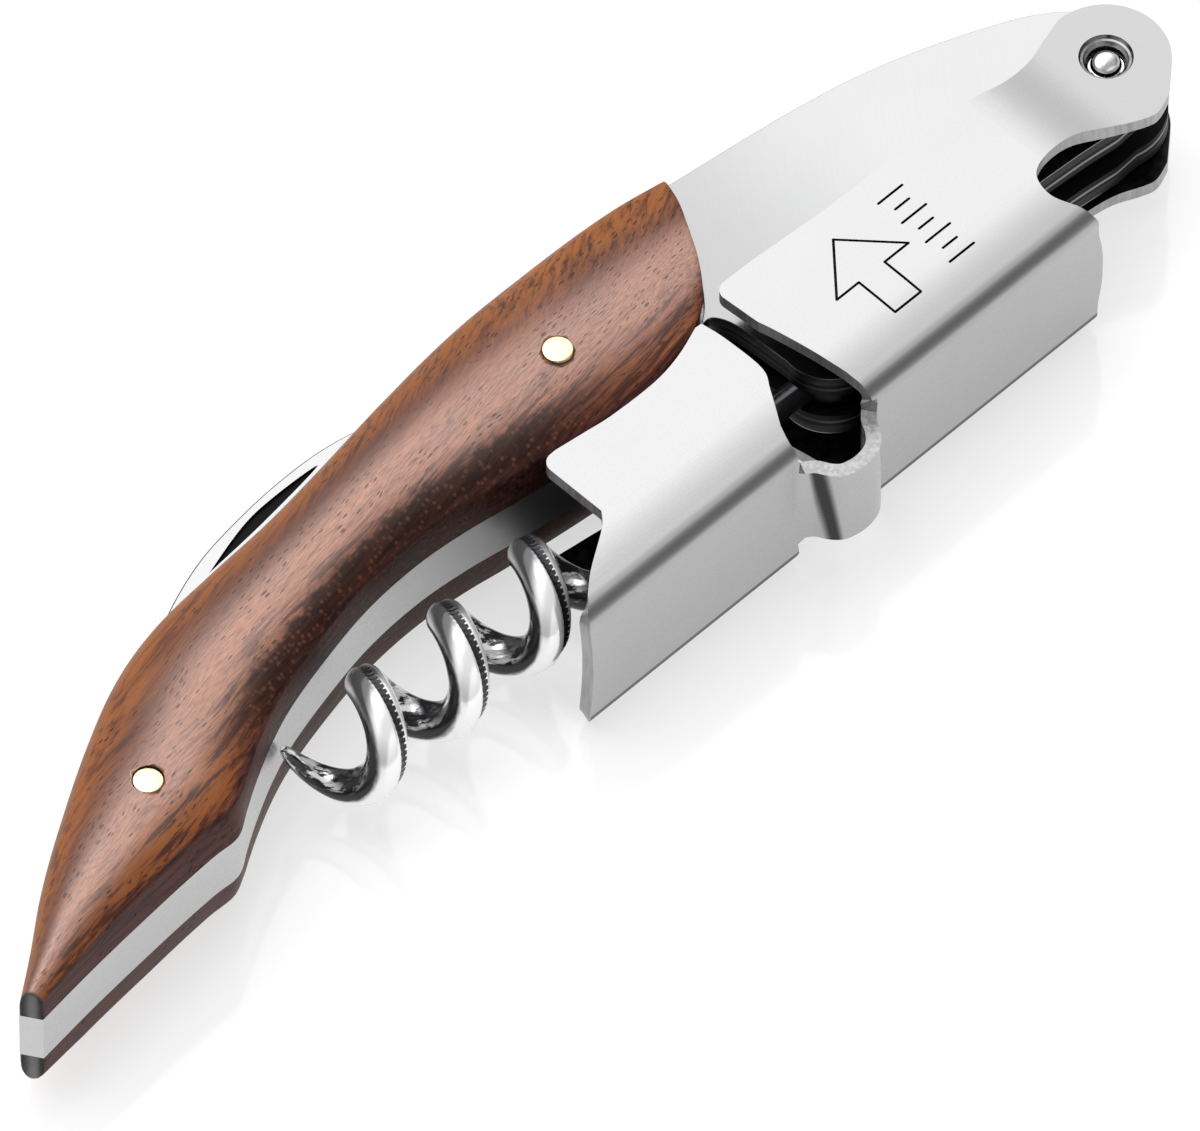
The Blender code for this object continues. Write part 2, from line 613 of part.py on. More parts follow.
def worm_screw():
    curve = bpy.data.curves.new("worm_wire", "CURVE")
    curve.dimensions = "3D"
    curve.bevel_depth = MM
    curve.bevel_resolution = 3
    curve.use_fill_caps = True
    spline = curve.splines.new("POLY")
    points = worm_points()
    spline.points.add(len(points) - 1)
    for target, (x, y, z, radius) in zip(spline.points, points):
        target.co = (x * MM, y * MM, z * MM, 1)
        target.radius = radius
    wire = bpy.data.objects.new("worm_wire", curve)
    PARTS.objects.link(wire)
    bpy.context.view_layer.update()
    worm = welded_mesh(wire, "worm_screw")
    eye = round_bar("worm_eye", WORM_PIVOT, WORM_EYE_RADIUS, -WORM_EYE_HALF_THICKNESS, WORM_EYE_HALF_THICKNESS)
    boolean(worm, eye, "UNION")
    boolean(worm, round_bar("worm_hole", WORM_PIVOT, WORM_PIN_RADIUS + PIN_CLEARANCE, -3, 3))
    finish(worm, "polished", WORM_AXIS, 50)


# ---------------------------------------------------------------- lever

def wall(points):
    """Outline points on a wall, moved to the flat sheet: across is the distance from its middle."""
    return [(x, WALL_START + y - (WEB_Y + BEND_RADIUS)) for x, y in points]


def half_blank():
    """Half of the lever's flat sheet, from the web's end at the head to its tip."""
    ear = arc(LEVER_PIVOT, EAR_RADIUS, -44, 92, 12)
    top_corner = arc((-37.7, 3.0), 1.05, 85, 190, 4)
    low_corner = arc((-58.7, 0.6), 1.1, 100, 180, 4)
    return (
        WEB_HEAD_END
        + wall(smooth(LIFTER_GAP) + ear + smooth(WALL_TOP) + top_corner + FIRST_STEP_HEAD_SIDE)
        + BESIDE_STRAP
        + wall(FIRST_STEP_TIP_SIDE + smooth(LOW_WALL_TOP) + low_corner + smooth(LOW_WALL_END))
        + WEB_TIP
    )


def joggled(x):
    """The height of a wall's middle: it steps in to the ear."""
    part = min(1.0, max(0.0, (x - JOGGLE_START) / (JOGGLE_END - JOGGLE_START)))
    blend = part * part * (3 - 2 * part)
    return WALL_Z + (EAR_Z - WALL_Z) * blend


def folded(along, across):
    """A point of the flat sheet on the folded lever."""
    side = math.copysign(1.0, across)
    across = abs(across)
    if across <= WEB_HALF:
        start, end = STEP_BUMP[0][0], STEP_BUMP[-1][0]
        if start < along < end:
            place = along_line(BUMP_LINE, (along - start) / (end - start))
            return place.x, place.y, side * across
        return along, WEB_Y, side * across
    if across <= WALL_START:
        angle = (across - WEB_HALF) / BEND_RADIUS
        z = WEB_HALF + BEND_RADIUS * math.sin(angle)
        return along, WEB_Y + BEND_RADIUS * (1 - math.cos(angle)), side * z
    return along, WEB_Y + BEND_RADIUS + across - WALL_START, side * joggled(along)


BUMP_LINE = smooth(STEP_BUMP, 3)


def cut_lines(start, end, steps):
    return [start + (end - start) * i / steps for i in range(steps + 1)]


def lever():
    """The lever: a flat sheet cut to its outline, divided where it bends, folded and thickened."""
    half = half_blank()
    blank = half + [(x, -across) for x, across in reversed(half)]
    bm = bmesh.new()
    bm.faces.new([bm.verts.new((x, across, 0)) for x, across in blank])
    ups = cut_lines(JOGGLE_START, JOGGLE_END, JOGGLE_STEPS)
    ups += cut_lines(STEP_BUMP[0][0], STEP_BUMP[-1][0], BUMP_STEPS)
    bends = cut_lines(WEB_HALF, WALL_START, BEND_STEPS)
    for x in ups:
        geometry = bm.verts[:] + bm.edges[:] + bm.faces[:]
        bmesh.ops.bisect_plane(bm, geom=geometry, dist=1e-5, plane_co=(x, 0, 0), plane_no=(1, 0, 0))
    for across in bends + [-b for b in bends]:
        geometry = bm.verts[:] + bm.edges[:] + bm.faces[:]
        bmesh.ops.bisect_plane(bm, geom=geometry, dist=1e-5, plane_co=(0, across, 0), plane_no=(0, 1, 0))
    for vert in bm.verts:
        vert.co = Vector(folded(vert.co.x, vert.co.y)) * MM
    mesh = bpy.data.meshes.new("lever")
    bm.to_mesh(mesh)
    bm.free()
    obj = bpy.data.objects.new("lever", mesh)
    PARTS.objects.link(obj)
    thick = obj.modifiers.new("sheet", "SOLIDIFY")
    thick.thickness = SHEET * MM
    thick.offset = 0
    thick.use_even_offset = True
    boolean(obj, round_bar("ear_hole", LEVER_PIVOT, EAR_HOLE_RADIUS, -12, 12))
    outer = EAR_Z + SHEET / 2
    recess = [(0.0, outer + 1), (RECESS_RADIUS + 0.9, outer + 1),
              (EAR_HOLE_RADIUS - 0.2, outer - RECESS_DEPTH - 0.2), (0.0, outer - RECESS_DEPTH - 0.2)]
    boolean(obj, turned("near_recess", LEVER_PIVOT, recess))
    boolean(obj, turned("far_recess", LEVER_PIVOT, [(r, -z) for r, z in reversed(recess)]))
    finish(obj, "steel", LEVER_AXIS)


# ---------------------------------------------------------------- assembly

liners()
spine_spacer()
back_spacer()
knife_spring()
bolsters()
scale("near_scale", 1)
scale("far_scale", -1)
pins()
knife_blade()
worm_screw()
lever()
bpy.context.view_layer.update()
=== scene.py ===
"""The looks of a waiter's corkscrew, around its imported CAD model.

Outlines are in millimetres from the lever's pivot, and heights are from the middle plane of the
handle, as in the CAD. Wood, steel, chrome and brass are procedural materials.
"""

import json
import math

import bmesh
import bpy
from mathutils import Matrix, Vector

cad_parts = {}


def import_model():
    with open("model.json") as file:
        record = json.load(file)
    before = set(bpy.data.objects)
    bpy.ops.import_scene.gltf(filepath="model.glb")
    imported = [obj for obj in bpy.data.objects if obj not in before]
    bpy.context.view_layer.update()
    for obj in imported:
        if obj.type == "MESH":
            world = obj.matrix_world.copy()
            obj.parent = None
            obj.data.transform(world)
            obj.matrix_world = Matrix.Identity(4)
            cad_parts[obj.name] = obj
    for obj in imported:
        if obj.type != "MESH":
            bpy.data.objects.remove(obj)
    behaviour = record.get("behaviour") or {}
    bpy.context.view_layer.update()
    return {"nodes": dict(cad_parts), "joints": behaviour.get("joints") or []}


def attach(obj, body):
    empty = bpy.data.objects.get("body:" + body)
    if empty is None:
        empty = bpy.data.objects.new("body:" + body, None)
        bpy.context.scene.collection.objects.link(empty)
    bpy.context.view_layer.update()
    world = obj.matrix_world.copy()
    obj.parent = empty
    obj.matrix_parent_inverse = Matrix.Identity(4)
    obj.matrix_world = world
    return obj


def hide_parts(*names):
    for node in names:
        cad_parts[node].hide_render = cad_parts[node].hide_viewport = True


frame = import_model()
MM = 0.001
PIVOT = Vector(next(j for j in frame["joints"] if j["name"] == "lever_fold")["pos_m"])

# ---------------- sizes

SPACER_TOP = 1.298
LINER_BOTTOM, LINER_TOP = 1.3, 2.5
BOLSTER_BOTTOM, BOLSTER_TOP = 2.52, 3.505
SCALE_BOTTOM = 2.52
CROWN_HEIGHT = 4.93

BRASS_PIN_RADIUS, BRASS_PIN_REACH, BRASS_PIN_DOME = 1.2, 7.3, 0.12
LEVER_RIVET_RADIUS, LEVER_RIVET_REACH = 1.5, 4.95
PIN_CLEARANCE = 0.05
PIN_HOLE = BRASS_PIN_RADIUS + PIN_CLEARANCE
RIVET_HOLE = LEVER_RIVET_RADIUS + PIN_CLEARANCE
RIVET_BALL_RADIUS, RIVET_BALL_HEIGHT, RIVET_BALL_ANGLE = 1.24, 1.0, 100
RIVET_NECK = [(1.16, -0.3), (1.3, -0.34), (1.42, -0.3), (LEVER_RIVET_RADIUS, -0.4)]
RIVET_SHANK_HALF = 1.0
DRILL_REACH = 12
SIDES = (("near", 1), ("far", -1))
KNIFE_PIVOT = (-102.1, 1.42)
HANDLE_PIN = (-51.1, 8.6)
WORM_PIVOT = (-33.5, -3.4)
LEVER_PIVOT = (0.0, 0.0)

UNDERSIDE = [
    (-121.2, -6.65), (-114.5, -5.85), (-106.5, -5.15), (-101.4, -4.85), (-99.2, -4.9), (-98.0, -4.55),
    (-96.4, -3.5), (-93.8, -1.95), (-90.5, -0.25), (-87.0, 1.15), (-82.0, 2.5), (-76.5, 3.6),
    (-71.0, 3.95), (-66.0, 3.6), (-60.5, 2.75), (-53.0, 1.8), (-48.3, 1.65), (-44.5, 2.3), (-41.6, 3.2),
]
BACK = [
    (-122.2, -5.05), (-118.35, -2.25), (-114.3, 0.9), (-109.5, 4.1), (-102.3, 8.4), (-96.2, 11.35),
    (-90.5, 12.9), (-84.0, 13.5), (-77.5, 13.9), (-70.6, 14.8), (-63.0, 16.0), (-53.5, 17.1),
    (-43.8, 17.2), (-37.5, 16.75), (-32.5, 15.9),
]
HEAD_BACK = [
    (-31.9, 15.75), (-21.9, 14.45), (-14.9, 13.15), (-9.0, 11.4), (-2.8, 8.9), (0.8, 6.85), (3.2, 4.55),
]
HEAD_UNDERSIDE = [(-39.9, 4.3), (-38.7, 4.4), (-37.9, 3.0), (-37.6, 0.5)]
HEAD_THROAT = [(-29.4, -6.0), (-24.5, -4.6), (-16.0, -4.1), (-8.0, -4.4), (-3.6, -4.85)]
WORM_LOBE_RADIUS = 4.0
HEAD_RADIUS = 4.9
SCALE_FRONT = [(-39.9, 4.4), (-38.4, 5.5), (-36.4, 8.0), (-34.8, 10.7), (-33.4, 13.3), (-32.5, 15.9)]
BOLSTER_GAP, BOLSTER_RIM = 0.1, 0.18
SPINE_HEIGHT = 2.0
TAIL_BLOCK = [(-118.8, -2.5), (-116.5, -3.0), (-113.5, -3.4)]
BACK_SPACER_INNER = [
    (-4.5, 6.6), (-9.0, 4.6), (-16.0, 2.6), (-26.0, 2.4), (-33.5, 2.6), (-39.0, 6.6), (-47.0, 6.6),
    (-56.5, 6.6),
]
BACK_SPACER_END = -2.5

# The scales: crown height along them, and their sections from the underside (0) to the back (1).
CROWN_ALONG = [
    (0.0, 0.62), (0.06, 0.8), (0.16, 0.94), (0.3, 1.0), (0.72, 1.0), (0.86, 0.9), (0.95, 0.74), (1.0, 0.6),
]
ROUND_SECTION = [
    (0.0, 0.0), (0.004, 0.3), (0.012, 0.52), (0.03, 0.68), (0.13, 0.82), (0.27, 0.93), (0.42, 0.99),
    (0.55, 1.0), (0.7, 0.95), (0.83, 0.83), (0.92, 0.68), (0.97, 0.5), (0.99, 0.3), (1.0, 0.0),
]
FLAT_SECTION = [
    (0.0, 0.0), (0.013, 0.25), (0.028, 0.48), (0.052, 0.7), (0.14, 0.81), *ROUND_SECTION[5:],
]
SQUARE_SECTION = [
    (0.0, 0.0), (0.004, 0.4), (0.012, 0.66), (0.05, 0.83), (0.14, 0.9), (0.28, 0.96), (0.42, 0.99),
    (0.55, 1.0), (0.7, 0.98), (0.83, 0.94), (0.95, 0.86), (0.985, 0.7), (0.995, 0.42), (1.0, 0.0),
]
FLANK_ENDS, FLANK_GONE = 0.26, 0.30
SQUARE_STARTS, SQUARE_GROWS = 0.84, 1.5
FRONT_PART = 0.25
SCALE_STATIONS, SECTION_STEPS = 150, 4
SCALE_END_ROUND, SCALE_END_STEPS = 0.22, 4

# The knife.
BLADE_SPINE = [
    (-102.6, 3.9), (-100.0, 4.9), (-97.0, 7.6), (-92.5, 11.3), (-88.1, 14.4), (-82.0, 16.8), (-76.0, 17.8),
    (-71.0, 18.09), (-67.0, 17.89), (-63.5, 17.1), (-60.5, 15.4), (-58.6, 13.2),
]
BLADE_EDGE = [
    (-101.8, -1.2), (-98.6, 0.9), (-92.0, 4.3), (-85.0, 7.2), (-77.0, 8.9), (-69.0, 9.6), (-62.5, 11.0),
]
BLADE_HALF_THICKNESS, EDGE_HALF_THICKNESS = 0.8, 0.05
BLADE_STATIONS, BLADE_STEPS = 90, 16
GRIND_START = 0.45
SPINE_ROUND, SPINE_ROUND_PART = 0.12, 0.016
TANG_RADIUS, TANG_HALF_THICKNESS, TANG_RIM = 2.9, 1.25, 0.1
NAIL_NICK = [(-81.9, 15.55), (-75.4, 16.1), (-68.7, 17.05), (-75.6, 17.15)]
NAIL_NICK_DEPTH = 0.3

# The worm.
WORM_AXIS_Y = -3.5
WORM_TIP_X = -89.8
WORM_PITCH, WORM_TURNS = 8.75, 5
WORM_RADIUS, WORM_WIRE_RADIUS, WORM_SHANK_RADIUS = 3.1, 1.6, 1.15
WORM_TIP_ANGLE = math.radians(27.6)
WORM_TAPER_TURNS, WORM_TIP_PART = 0.45, 0.16
RUN_IN_TURNS, RUN_IN_PITCHES, RUN_IN_POWER = 0.35, 0.62, 1.2
SHANK_END = 1.6
WORM_EYE_RADIUS, WORM_EYE_HALF_THICKNESS, WORM_EYE_RIM = 3.2, 1.2, 0.2
WORM_STEPS, WORM_SIDES = 224, 48
GROOVE_AT, GROOVE_HALF_ANGLE, GROOVE_DEPTH = 0.28, 0.28, 0.2
GROOVE_TICKS, GROOVE_TICK_PART = 56, 0.15
GROOVE_STARTS, GROOVE_GROWS = 0.12, 0.3

# The lever, a folded sheet.
SHEET = 1.2
LEVER_HALF_WIDTH = 7.5
WALL_Z = LEVER_HALF_WIDTH - SHEET / 2
EAR_Z = 4.4
WEB_Y = -10.85
BEND_RADIUS = 1.2
WEB_HALF = WALL_Z - BEND_RADIUS
BEND_LENGTH = BEND_RADIUS * math.pi / 2
WALL_START = WEB_HALF + BEND_LENGTH
JOGGLE_START, JOGGLE_END = -12.4, -3.2
STRAP_HALF = 4.1
STEP_BUMP = [
    (-45.5, WEB_Y), (-44.8, WEB_Y - 0.06), (-44.0, WEB_Y - 0.35), (-43.3, -11.75), (-42.7, -12.75),
    (-41.9, -13.45), (-40.4, -13.72), (-38.9, -13.4), (-37.9, -12.5), (-37.2, -11.3), (-36.4, WEB_Y),
]
EAR_RADIUS = 5.1
EAR_HOLE_RADIUS = LEVER_RIVET_RADIUS + 0.06
EAR_RECESS = [
    (0.0, 1.0), (2.15, 1.0), (2.15, -0.06), (1.99, -0.32), (1.81, -0.36), (EAR_HOLE_RADIUS - 0.1, -0.8),
    (0.0, -0.8),
]
TOP_CORNER = ((-37.7, 3.0), 1.05, 85, 190)
LOW_CORNER = ((-58.7, 0.6), 1.1, 100, 180)
BEND_STEPS, JOGGLE_STEPS, BUMP_STEPS, DIP_STEPS = 12, 26, 44, 10
WALL_DIP, DIP_REACH = 0.2, 5.5
WEB_HEAD_END = [(-11.8, 1.2), (-11.95, 2.7), (-12.25, 4.4), (-12.3, 6.0)]
LIFTER_GAP = [
    (-13.2, -9.4), (-13.8, -7.8), (-13.6, -6.2), (-12.8, -5.2), (-10.9, -4.6), (-7.8, -4.3), (-4.8, -5.1),
    (-2.1, -6.3), (-0.8, -6.55), (0.9, -5.95),
]
WALL_TOP = [
    (-2.6, 4.4), (-5.4, 3.6), (-8.9, 3.0), (-12.0, 3.15), (-18.1, 3.4), (-26.4, 3.5), (-34.7, 4.0),
]
FIRST_STEP_HEAD_SIDE = [(-38.5, -0.5), (-38.1, -2.1), (-37.5, -5.2), (-37.0, -8.5)]
BESIDE_STRAP = [
    (-36.9, WEB_HALF + 0.9), (-36.9, STRAP_HALF + 0.6), (-37.4, STRAP_HALF), (-44.4, STRAP_HALF),
    (-45.0, STRAP_HALF + 0.5), (-44.8, WEB_HALF + 1.4),
]
FIRST_STEP_TIP_SIDE = [(-44.2, -8.7), (-42.4, -5.8), (-41.4, -3.9), (-41.4, 0.0), (-41.7, 2.4)]
LOW_WALL_TOP = [(-42.3, 2.45), (-45.2, 1.45), (-48.3, 0.95), (-52.7, 1.0), (-55.2, 1.3), (-58.2, 1.7)]
LOW_WALL_END = [(-59.75, -4.9), (-60.9, -6.1), (-64.3, -8.3)]
WEB_TIP = [
    (-66.4, WALL_START - 0.4), (-67.15, WEB_HALF + 0.9), (-67.4, WEB_HALF), (-67.35, 4.6), (-67.2, 3.0),
    (-67.1, 1.0),
]

# The engraving on the lever's near wall: an arrow's outline and strokes, long and short in turn.
ARROW = [
    (-28.8, 1.0), (-32.7, -3.3), (-30.3, -3.3), (-30.3, -7.25), (-27.5, -7.25), (-27.5, -3.3),
    (-24.9, -3.3),
]
STROKE_X, STROKE_FIRST_Y, STROKE_STEP, STROKE_COUNT = -22.6, 1.0, 1.3, 7
STROKE_LENGTHS = (2.6, 1.5)
ENGRAVING_WIDTH, ENGRAVING_DEPTH = 0.22, 0.1

RIM = 0.12
MERGE_DISTANCE = 0.003
ROUND_SIDES = 64

# The wood's colours from dark to light, and its grain's angles from the handle's length.
WOOD_TONES = [
    (0.35, (0.028, 0.008, 0.005)), (0.43, (0.070, 0.019, 0.011)), (0.50, (0.135, 0.041, 0.019)),
    (0.57, (0.22, 0.074, 0.032)), (0.66, (0.33, 0.128, 0.052)),
]
GRAIN_TURN, STEEP_GRAIN_TURN = 10, 30


# ---------------- shapes

def place(x, y, z=0.0):
    """A point in the frame, from millimetres off the lever's pivot."""
    return PIVOT + Vector((x, y, z)) * MM


def spread(start, end, steps):
    """Evenly spaced numbers, both ends included."""
    return [start + (end - start) * i / steps for i in range(steps + 1)]


def clamped(x):
    return min(1.0, max(0.0, x))


def smooth(points, steps=8):
    """Points of a Catmull-Rom curve through the given points, ends included."""
    ends = [points[0], *points, points[-1]]
    found = []
    for i in range(1, len(ends) - 2):
        a, b, c, d = (Vector(p) for p in ends[i - 1:i + 3])
        for step in range(steps):
            t = step / steps
            p = 0.5 * (2 * b + (c - a) * t + (2 * a - 5 * b + 4 * c - d) * t ** 2
                       + (3 * b - a - 3 * c + d) * t ** 3)
            found.append(tuple(p))
    found.append(tuple(points[-1]))
    return found


def arc(centre, radius, start, end, steps):
    """Points of an arc, its angles in degrees."""
    angles = [math.radians(angle) for angle in spread(start, end, steps)]
    return [(centre[0] + radius * math.cos(a), centre[1] + radius * math.sin(a)) for a in angles]


def circle(centre, radius):
    """Points all round a circle, none of them twice."""
    return arc(centre, radius, 0, 360, ROUND_SIDES)[:-1]


def raised(points, height):
    """The outline shifted to its left by height."""
    found = []
    for i, point in enumerate(points):
        before = Vector(points[max(i - 1, 0)])
        after = Vector(points[min(i + 1, len(points) - 1)])
        along = (after - before).normalized()
        found.append((point[0] - along.y * height, point[1] + along.x * height))
    return found


def interpolate(table, x):
    for (x0, y0), (x1, y1) in zip(table, table[1:]):
        if x <= x1:
            return y0 + (y1 - y0) * (x - x0) / (x1 - x0)
    return table[-1][1]


class Line:
    """A polyline that gives its point at a part, 0 to 1, of its length."""

    def __init__(self, points):
        self.points = [Vector(p) for p in points]
        self.marks = [0.0]
        for a, b in zip(self.points, self.points[1:]):
            self.marks.append(self.marks[-1] + (b - a).length)

    def at(self, part):
        want = part * self.marks[-1]
        for i in range(1, len(self.marks)):
            if want <= self.marks[i]:
                share = (want - self.marks[i - 1]) / (self.marks[i] - self.marks[i - 1])
                return self.points[i - 1].lerp(self.points[i], share)
        return self.points[-1]


def linked(name, data):
    """A new object in the scene."""
    obj = bpy.data.objects.new(name, data)
    bpy.context.scene.collection.objects.link(obj)
    return obj


def new_object(name, bm):
    mesh = bpy.data.meshes.new(name)
    bm.to_mesh(mesh)
    bm.free()
    return linked(name, mesh)


def new_solid(name, bm):
    """A new object whose faces all look outwards."""
    bmesh.ops.recalc_face_normals(bm, faces=bm.faces)
    return new_object(name, bm)


def coated(obj, *metals):
    """The object with these materials after those that it has."""
    for metal in metals:
        obj.data.materials.append(metal)
    return obj


def recoated(obj, metal):
    """The object with this material alone."""
    obj.data.materials.clear()
    return coated(obj, metal)


def modify(obj, kind, **settings):
    modifier = obj.modifiers.new(kind.lower(), kind)
    for key, value in settings.items():
        setattr(modifier, key, value)
    return obj


def bevel(obj, width, angle=40, material=-1):
    """Rounds the sharp edges; the new faces may have a material slot of their own."""
    return modify(obj, "BEVEL", width=width * MM, segments=3, limit_method="ANGLE", material=material,
                  angle_limit=math.radians(angle), miter_outer="MITER_ARC")


def bake(obj):
    """Makes the modified shape the object's own mesh."""
    graph = bpy.context.evaluated_depsgraph_get()
    graph.update()
    mesh = bpy.data.meshes.new_from_object(obj.evaluated_get(graph))
    obj.modifiers.clear()
    obj.data = mesh
    return obj


def apply_all(obj, smooth_angle=35):
    """The modified shape, shaded smooth below an angle."""
    bake(obj)
    obj.data.shade_smooth()
    obj.data.set_sharp_from_angle(angle=math.radians(smooth_angle))
    return obj


def flatten(obj, smooth_angle=35):
    """The modified shape, shaded so that its large flat faces look flat."""
    apply_all(obj, smooth_angle)
    return bake(modify(obj, "WEIGHTED_NORMAL", keep_sharp=True, weight=80, mode="FACE_AREA"))


def boolean(obj, other, operation="DIFFERENCE"):
    """Cuts or joins with another object, whose own material its faces keep."""
    modify(obj, "BOOLEAN", operation=operation, solver="EXACT", material_mode="TRANSFER", object=other)
    apply_all(obj)
    bpy.data.objects.remove(other, do_unlink=True)
    return obj


def merged(obj):
    """The shape with its coinciding points joined, and without pairs of faces that lie back to back."""
    bm = bmesh.new()
    bm.from_mesh(obj.data)
    bmesh.ops.remove_doubles(bm, verts=bm.verts, dist=MERGE_DISTANCE * MM)
    bmesh.ops.dissolve_degenerate(bm, edges=bm.edges, dist=MERGE_DISTANCE * MM)
    by_corners = {}
    for face in bm.faces:
        by_corners.setdefault(frozenset(face.verts), []).append(face)
    doubled = [face for faces in by_corners.values() if len(faces) > 1 for face in faces]
    bmesh.ops.delete(bm, geom=doubled, context="FACES")
    bmesh.ops.delete(bm, geom=[edge for edge in bm.edges if not edge.link_faces], context="EDGES")
    bmesh.ops.delete(bm, geom=[vert for vert in bm.verts if not vert.link_faces], context="VERTS")
    bmesh.ops.holes_fill(bm, edges=[edge for edge in bm.edges if edge.is_boundary])
    bm.to_mesh(obj.data)
    bm.free()
    return obj


def prism(name, outline, bottom, top):
    """A straight-sided solid on a plan outline."""
    bm = bmesh.new()
    low = bm.faces.new([bm.verts.new(place(x, y, bottom)) for x, y in outline])
    raised_part = bmesh.ops.extrude_face_region(bm, geom=[low])
    tops = [v for v in raised_part["geom"] if isinstance(v, bmesh.types.BMVert)]
    bmesh.ops.translate(bm, verts=tops, vec=(0, 0, (top - bottom) * MM))
    return new_solid(name, bm)


def cylinder(name, centre, radius, bottom, top):
    return prism(name, circle(centre, radius), bottom, top)


def drill(obj, centre, radius, metal=None):
    """Cuts a round hole right through, with a metal of its own inside it if one is given."""
    cutter = cylinder("hole", centre, radius, -DRILL_REACH, DRILL_REACH)
    return boolean(obj, coated(cutter, metal) if metal else cutter)


def turned(name, centre, profile):
    """A turned solid on an axis along Z; its profile of (radius, height) starts and ends on the axis."""
    bm = bmesh.new()
    rings = []
    for radius, height in profile:
        points = circle(centre, radius) if radius else [centre]
        rings.append([bm.verts.new(place(x, y, height)) for x, y in points])
    for ring, after in zip(rings, rings[1:]):
        for i in range(ROUND_SIDES):
            j = (i + 1) % ROUND_SIDES
            corners = [ring[i % len(ring)], ring[j % len(ring)]]
            corners += [after[j % len(after)], after[i % len(after)]]
            bm.faces.new(list(dict.fromkeys(corners)))
    return new_solid(name, bm)


def dome(radius, height, base, degrees, steps):
    """A round head's profile, from its top outwards, as (radius, height)."""
    angles = [math.radians(angle) for angle in spread(0, degrees, steps)]
    return [(radius * math.sin(a), base + height * math.cos(a)) for a in angles]


def mirrored(profile):
    """The same profile below the middle plane, in reverse order."""
    return [(radius, -height) for radius, height in reversed(profile)]


def plate(name, outline, bottom, top, metals, holes=(), rim=0.0):
    """A flat plate with a round hole for each (centre, radius); its last metal is its rounded rim's."""
    obj = coated(prism(name, outline, bottom, top), *metals)
    for centre, radius in holes:
        drill(obj, centre, radius)
    if rim:
        bevel(obj, rim, material=len(metals) - 1)
    return flatten(obj)


def loft(bm, rings):
    """Quads between closed rings of vertices."""
    for ring, after in zip(rings, rings[1:]):
        for j in range(len(ring)):
            k = (j + 1) % len(ring)
            bm.faces.new((ring[j], ring[k], after[k], after[j]))


# ---------------- materials

class Value:
    """What a node gives. Arithmetic on it adds Math nodes."""

    def __init__(self, nodes, socket):
        self.nodes = nodes
        self.socket = socket

    def __add__(self, other):
        return self.nodes.math("ADD", self, other)

    def __sub__(self, other):
        return self.nodes.math("SUBTRACT", self, other)

    def __rsub__(self, other):
        return self.nodes.math("SUBTRACT", other, self)

    def __mul__(self, other):
        return self.nodes.math("MULTIPLY", self, other)

    def __abs__(self):
        return self.nodes.math("ABSOLUTE", self)

    def beside(self, output):
        """Another output of the same node."""
        return Value(self.nodes, self.socket.node.outputs[output])


class Nodes:
    """A node tree and short calls that add nodes to it."""

    def __init__(self, tree):
        self.tree = tree

    def link(self, value, socket):
        """Gives a socket a node's value, or a number or colour."""
        if isinstance(value, Value):
            self.tree.links.new(value.socket, socket)
        else:
            socket.default_value = value

    def node(self, kind, inputs, output=0, **settings):
        made = self.tree.nodes.new("ShaderNode" + kind)
        for key, setting in settings.items():
            setattr(made, key, setting)
        for key, value in inputs.items():
            self.link(value, made.inputs[key])
        return Value(self, made.outputs[output])

    def split(self, vector):
        """The vector's x, y and z."""
        x = self.node("SeparateXYZ", {0: vector})
        return x, x.beside("Y"), x.beside("Z")

    def math(self, operation, a, b=0.0):
        return self.node("Math", {0: a, 1: b}, operation=operation)

    def vector(self, operation, a, b):
        return self.node("VectorMath", {0: a, 1: b}, operation=operation)

    def most(self, first, *others):
        """The greatest of the values."""
        for other in others:
            first = self.math("MAXIMUM", first, other)
        return first

    def band(self, value, low, high, out_low=0.0, out_high=1.0):
        """A smooth step from out_low at low to out_high at high."""
        inputs = {"Value": value, "From Min": low, "From Max": high, "To Min": out_low, "To Max": out_high}
        return self.node("MapRange", inputs, interpolation_type="SMOOTHSTEP")


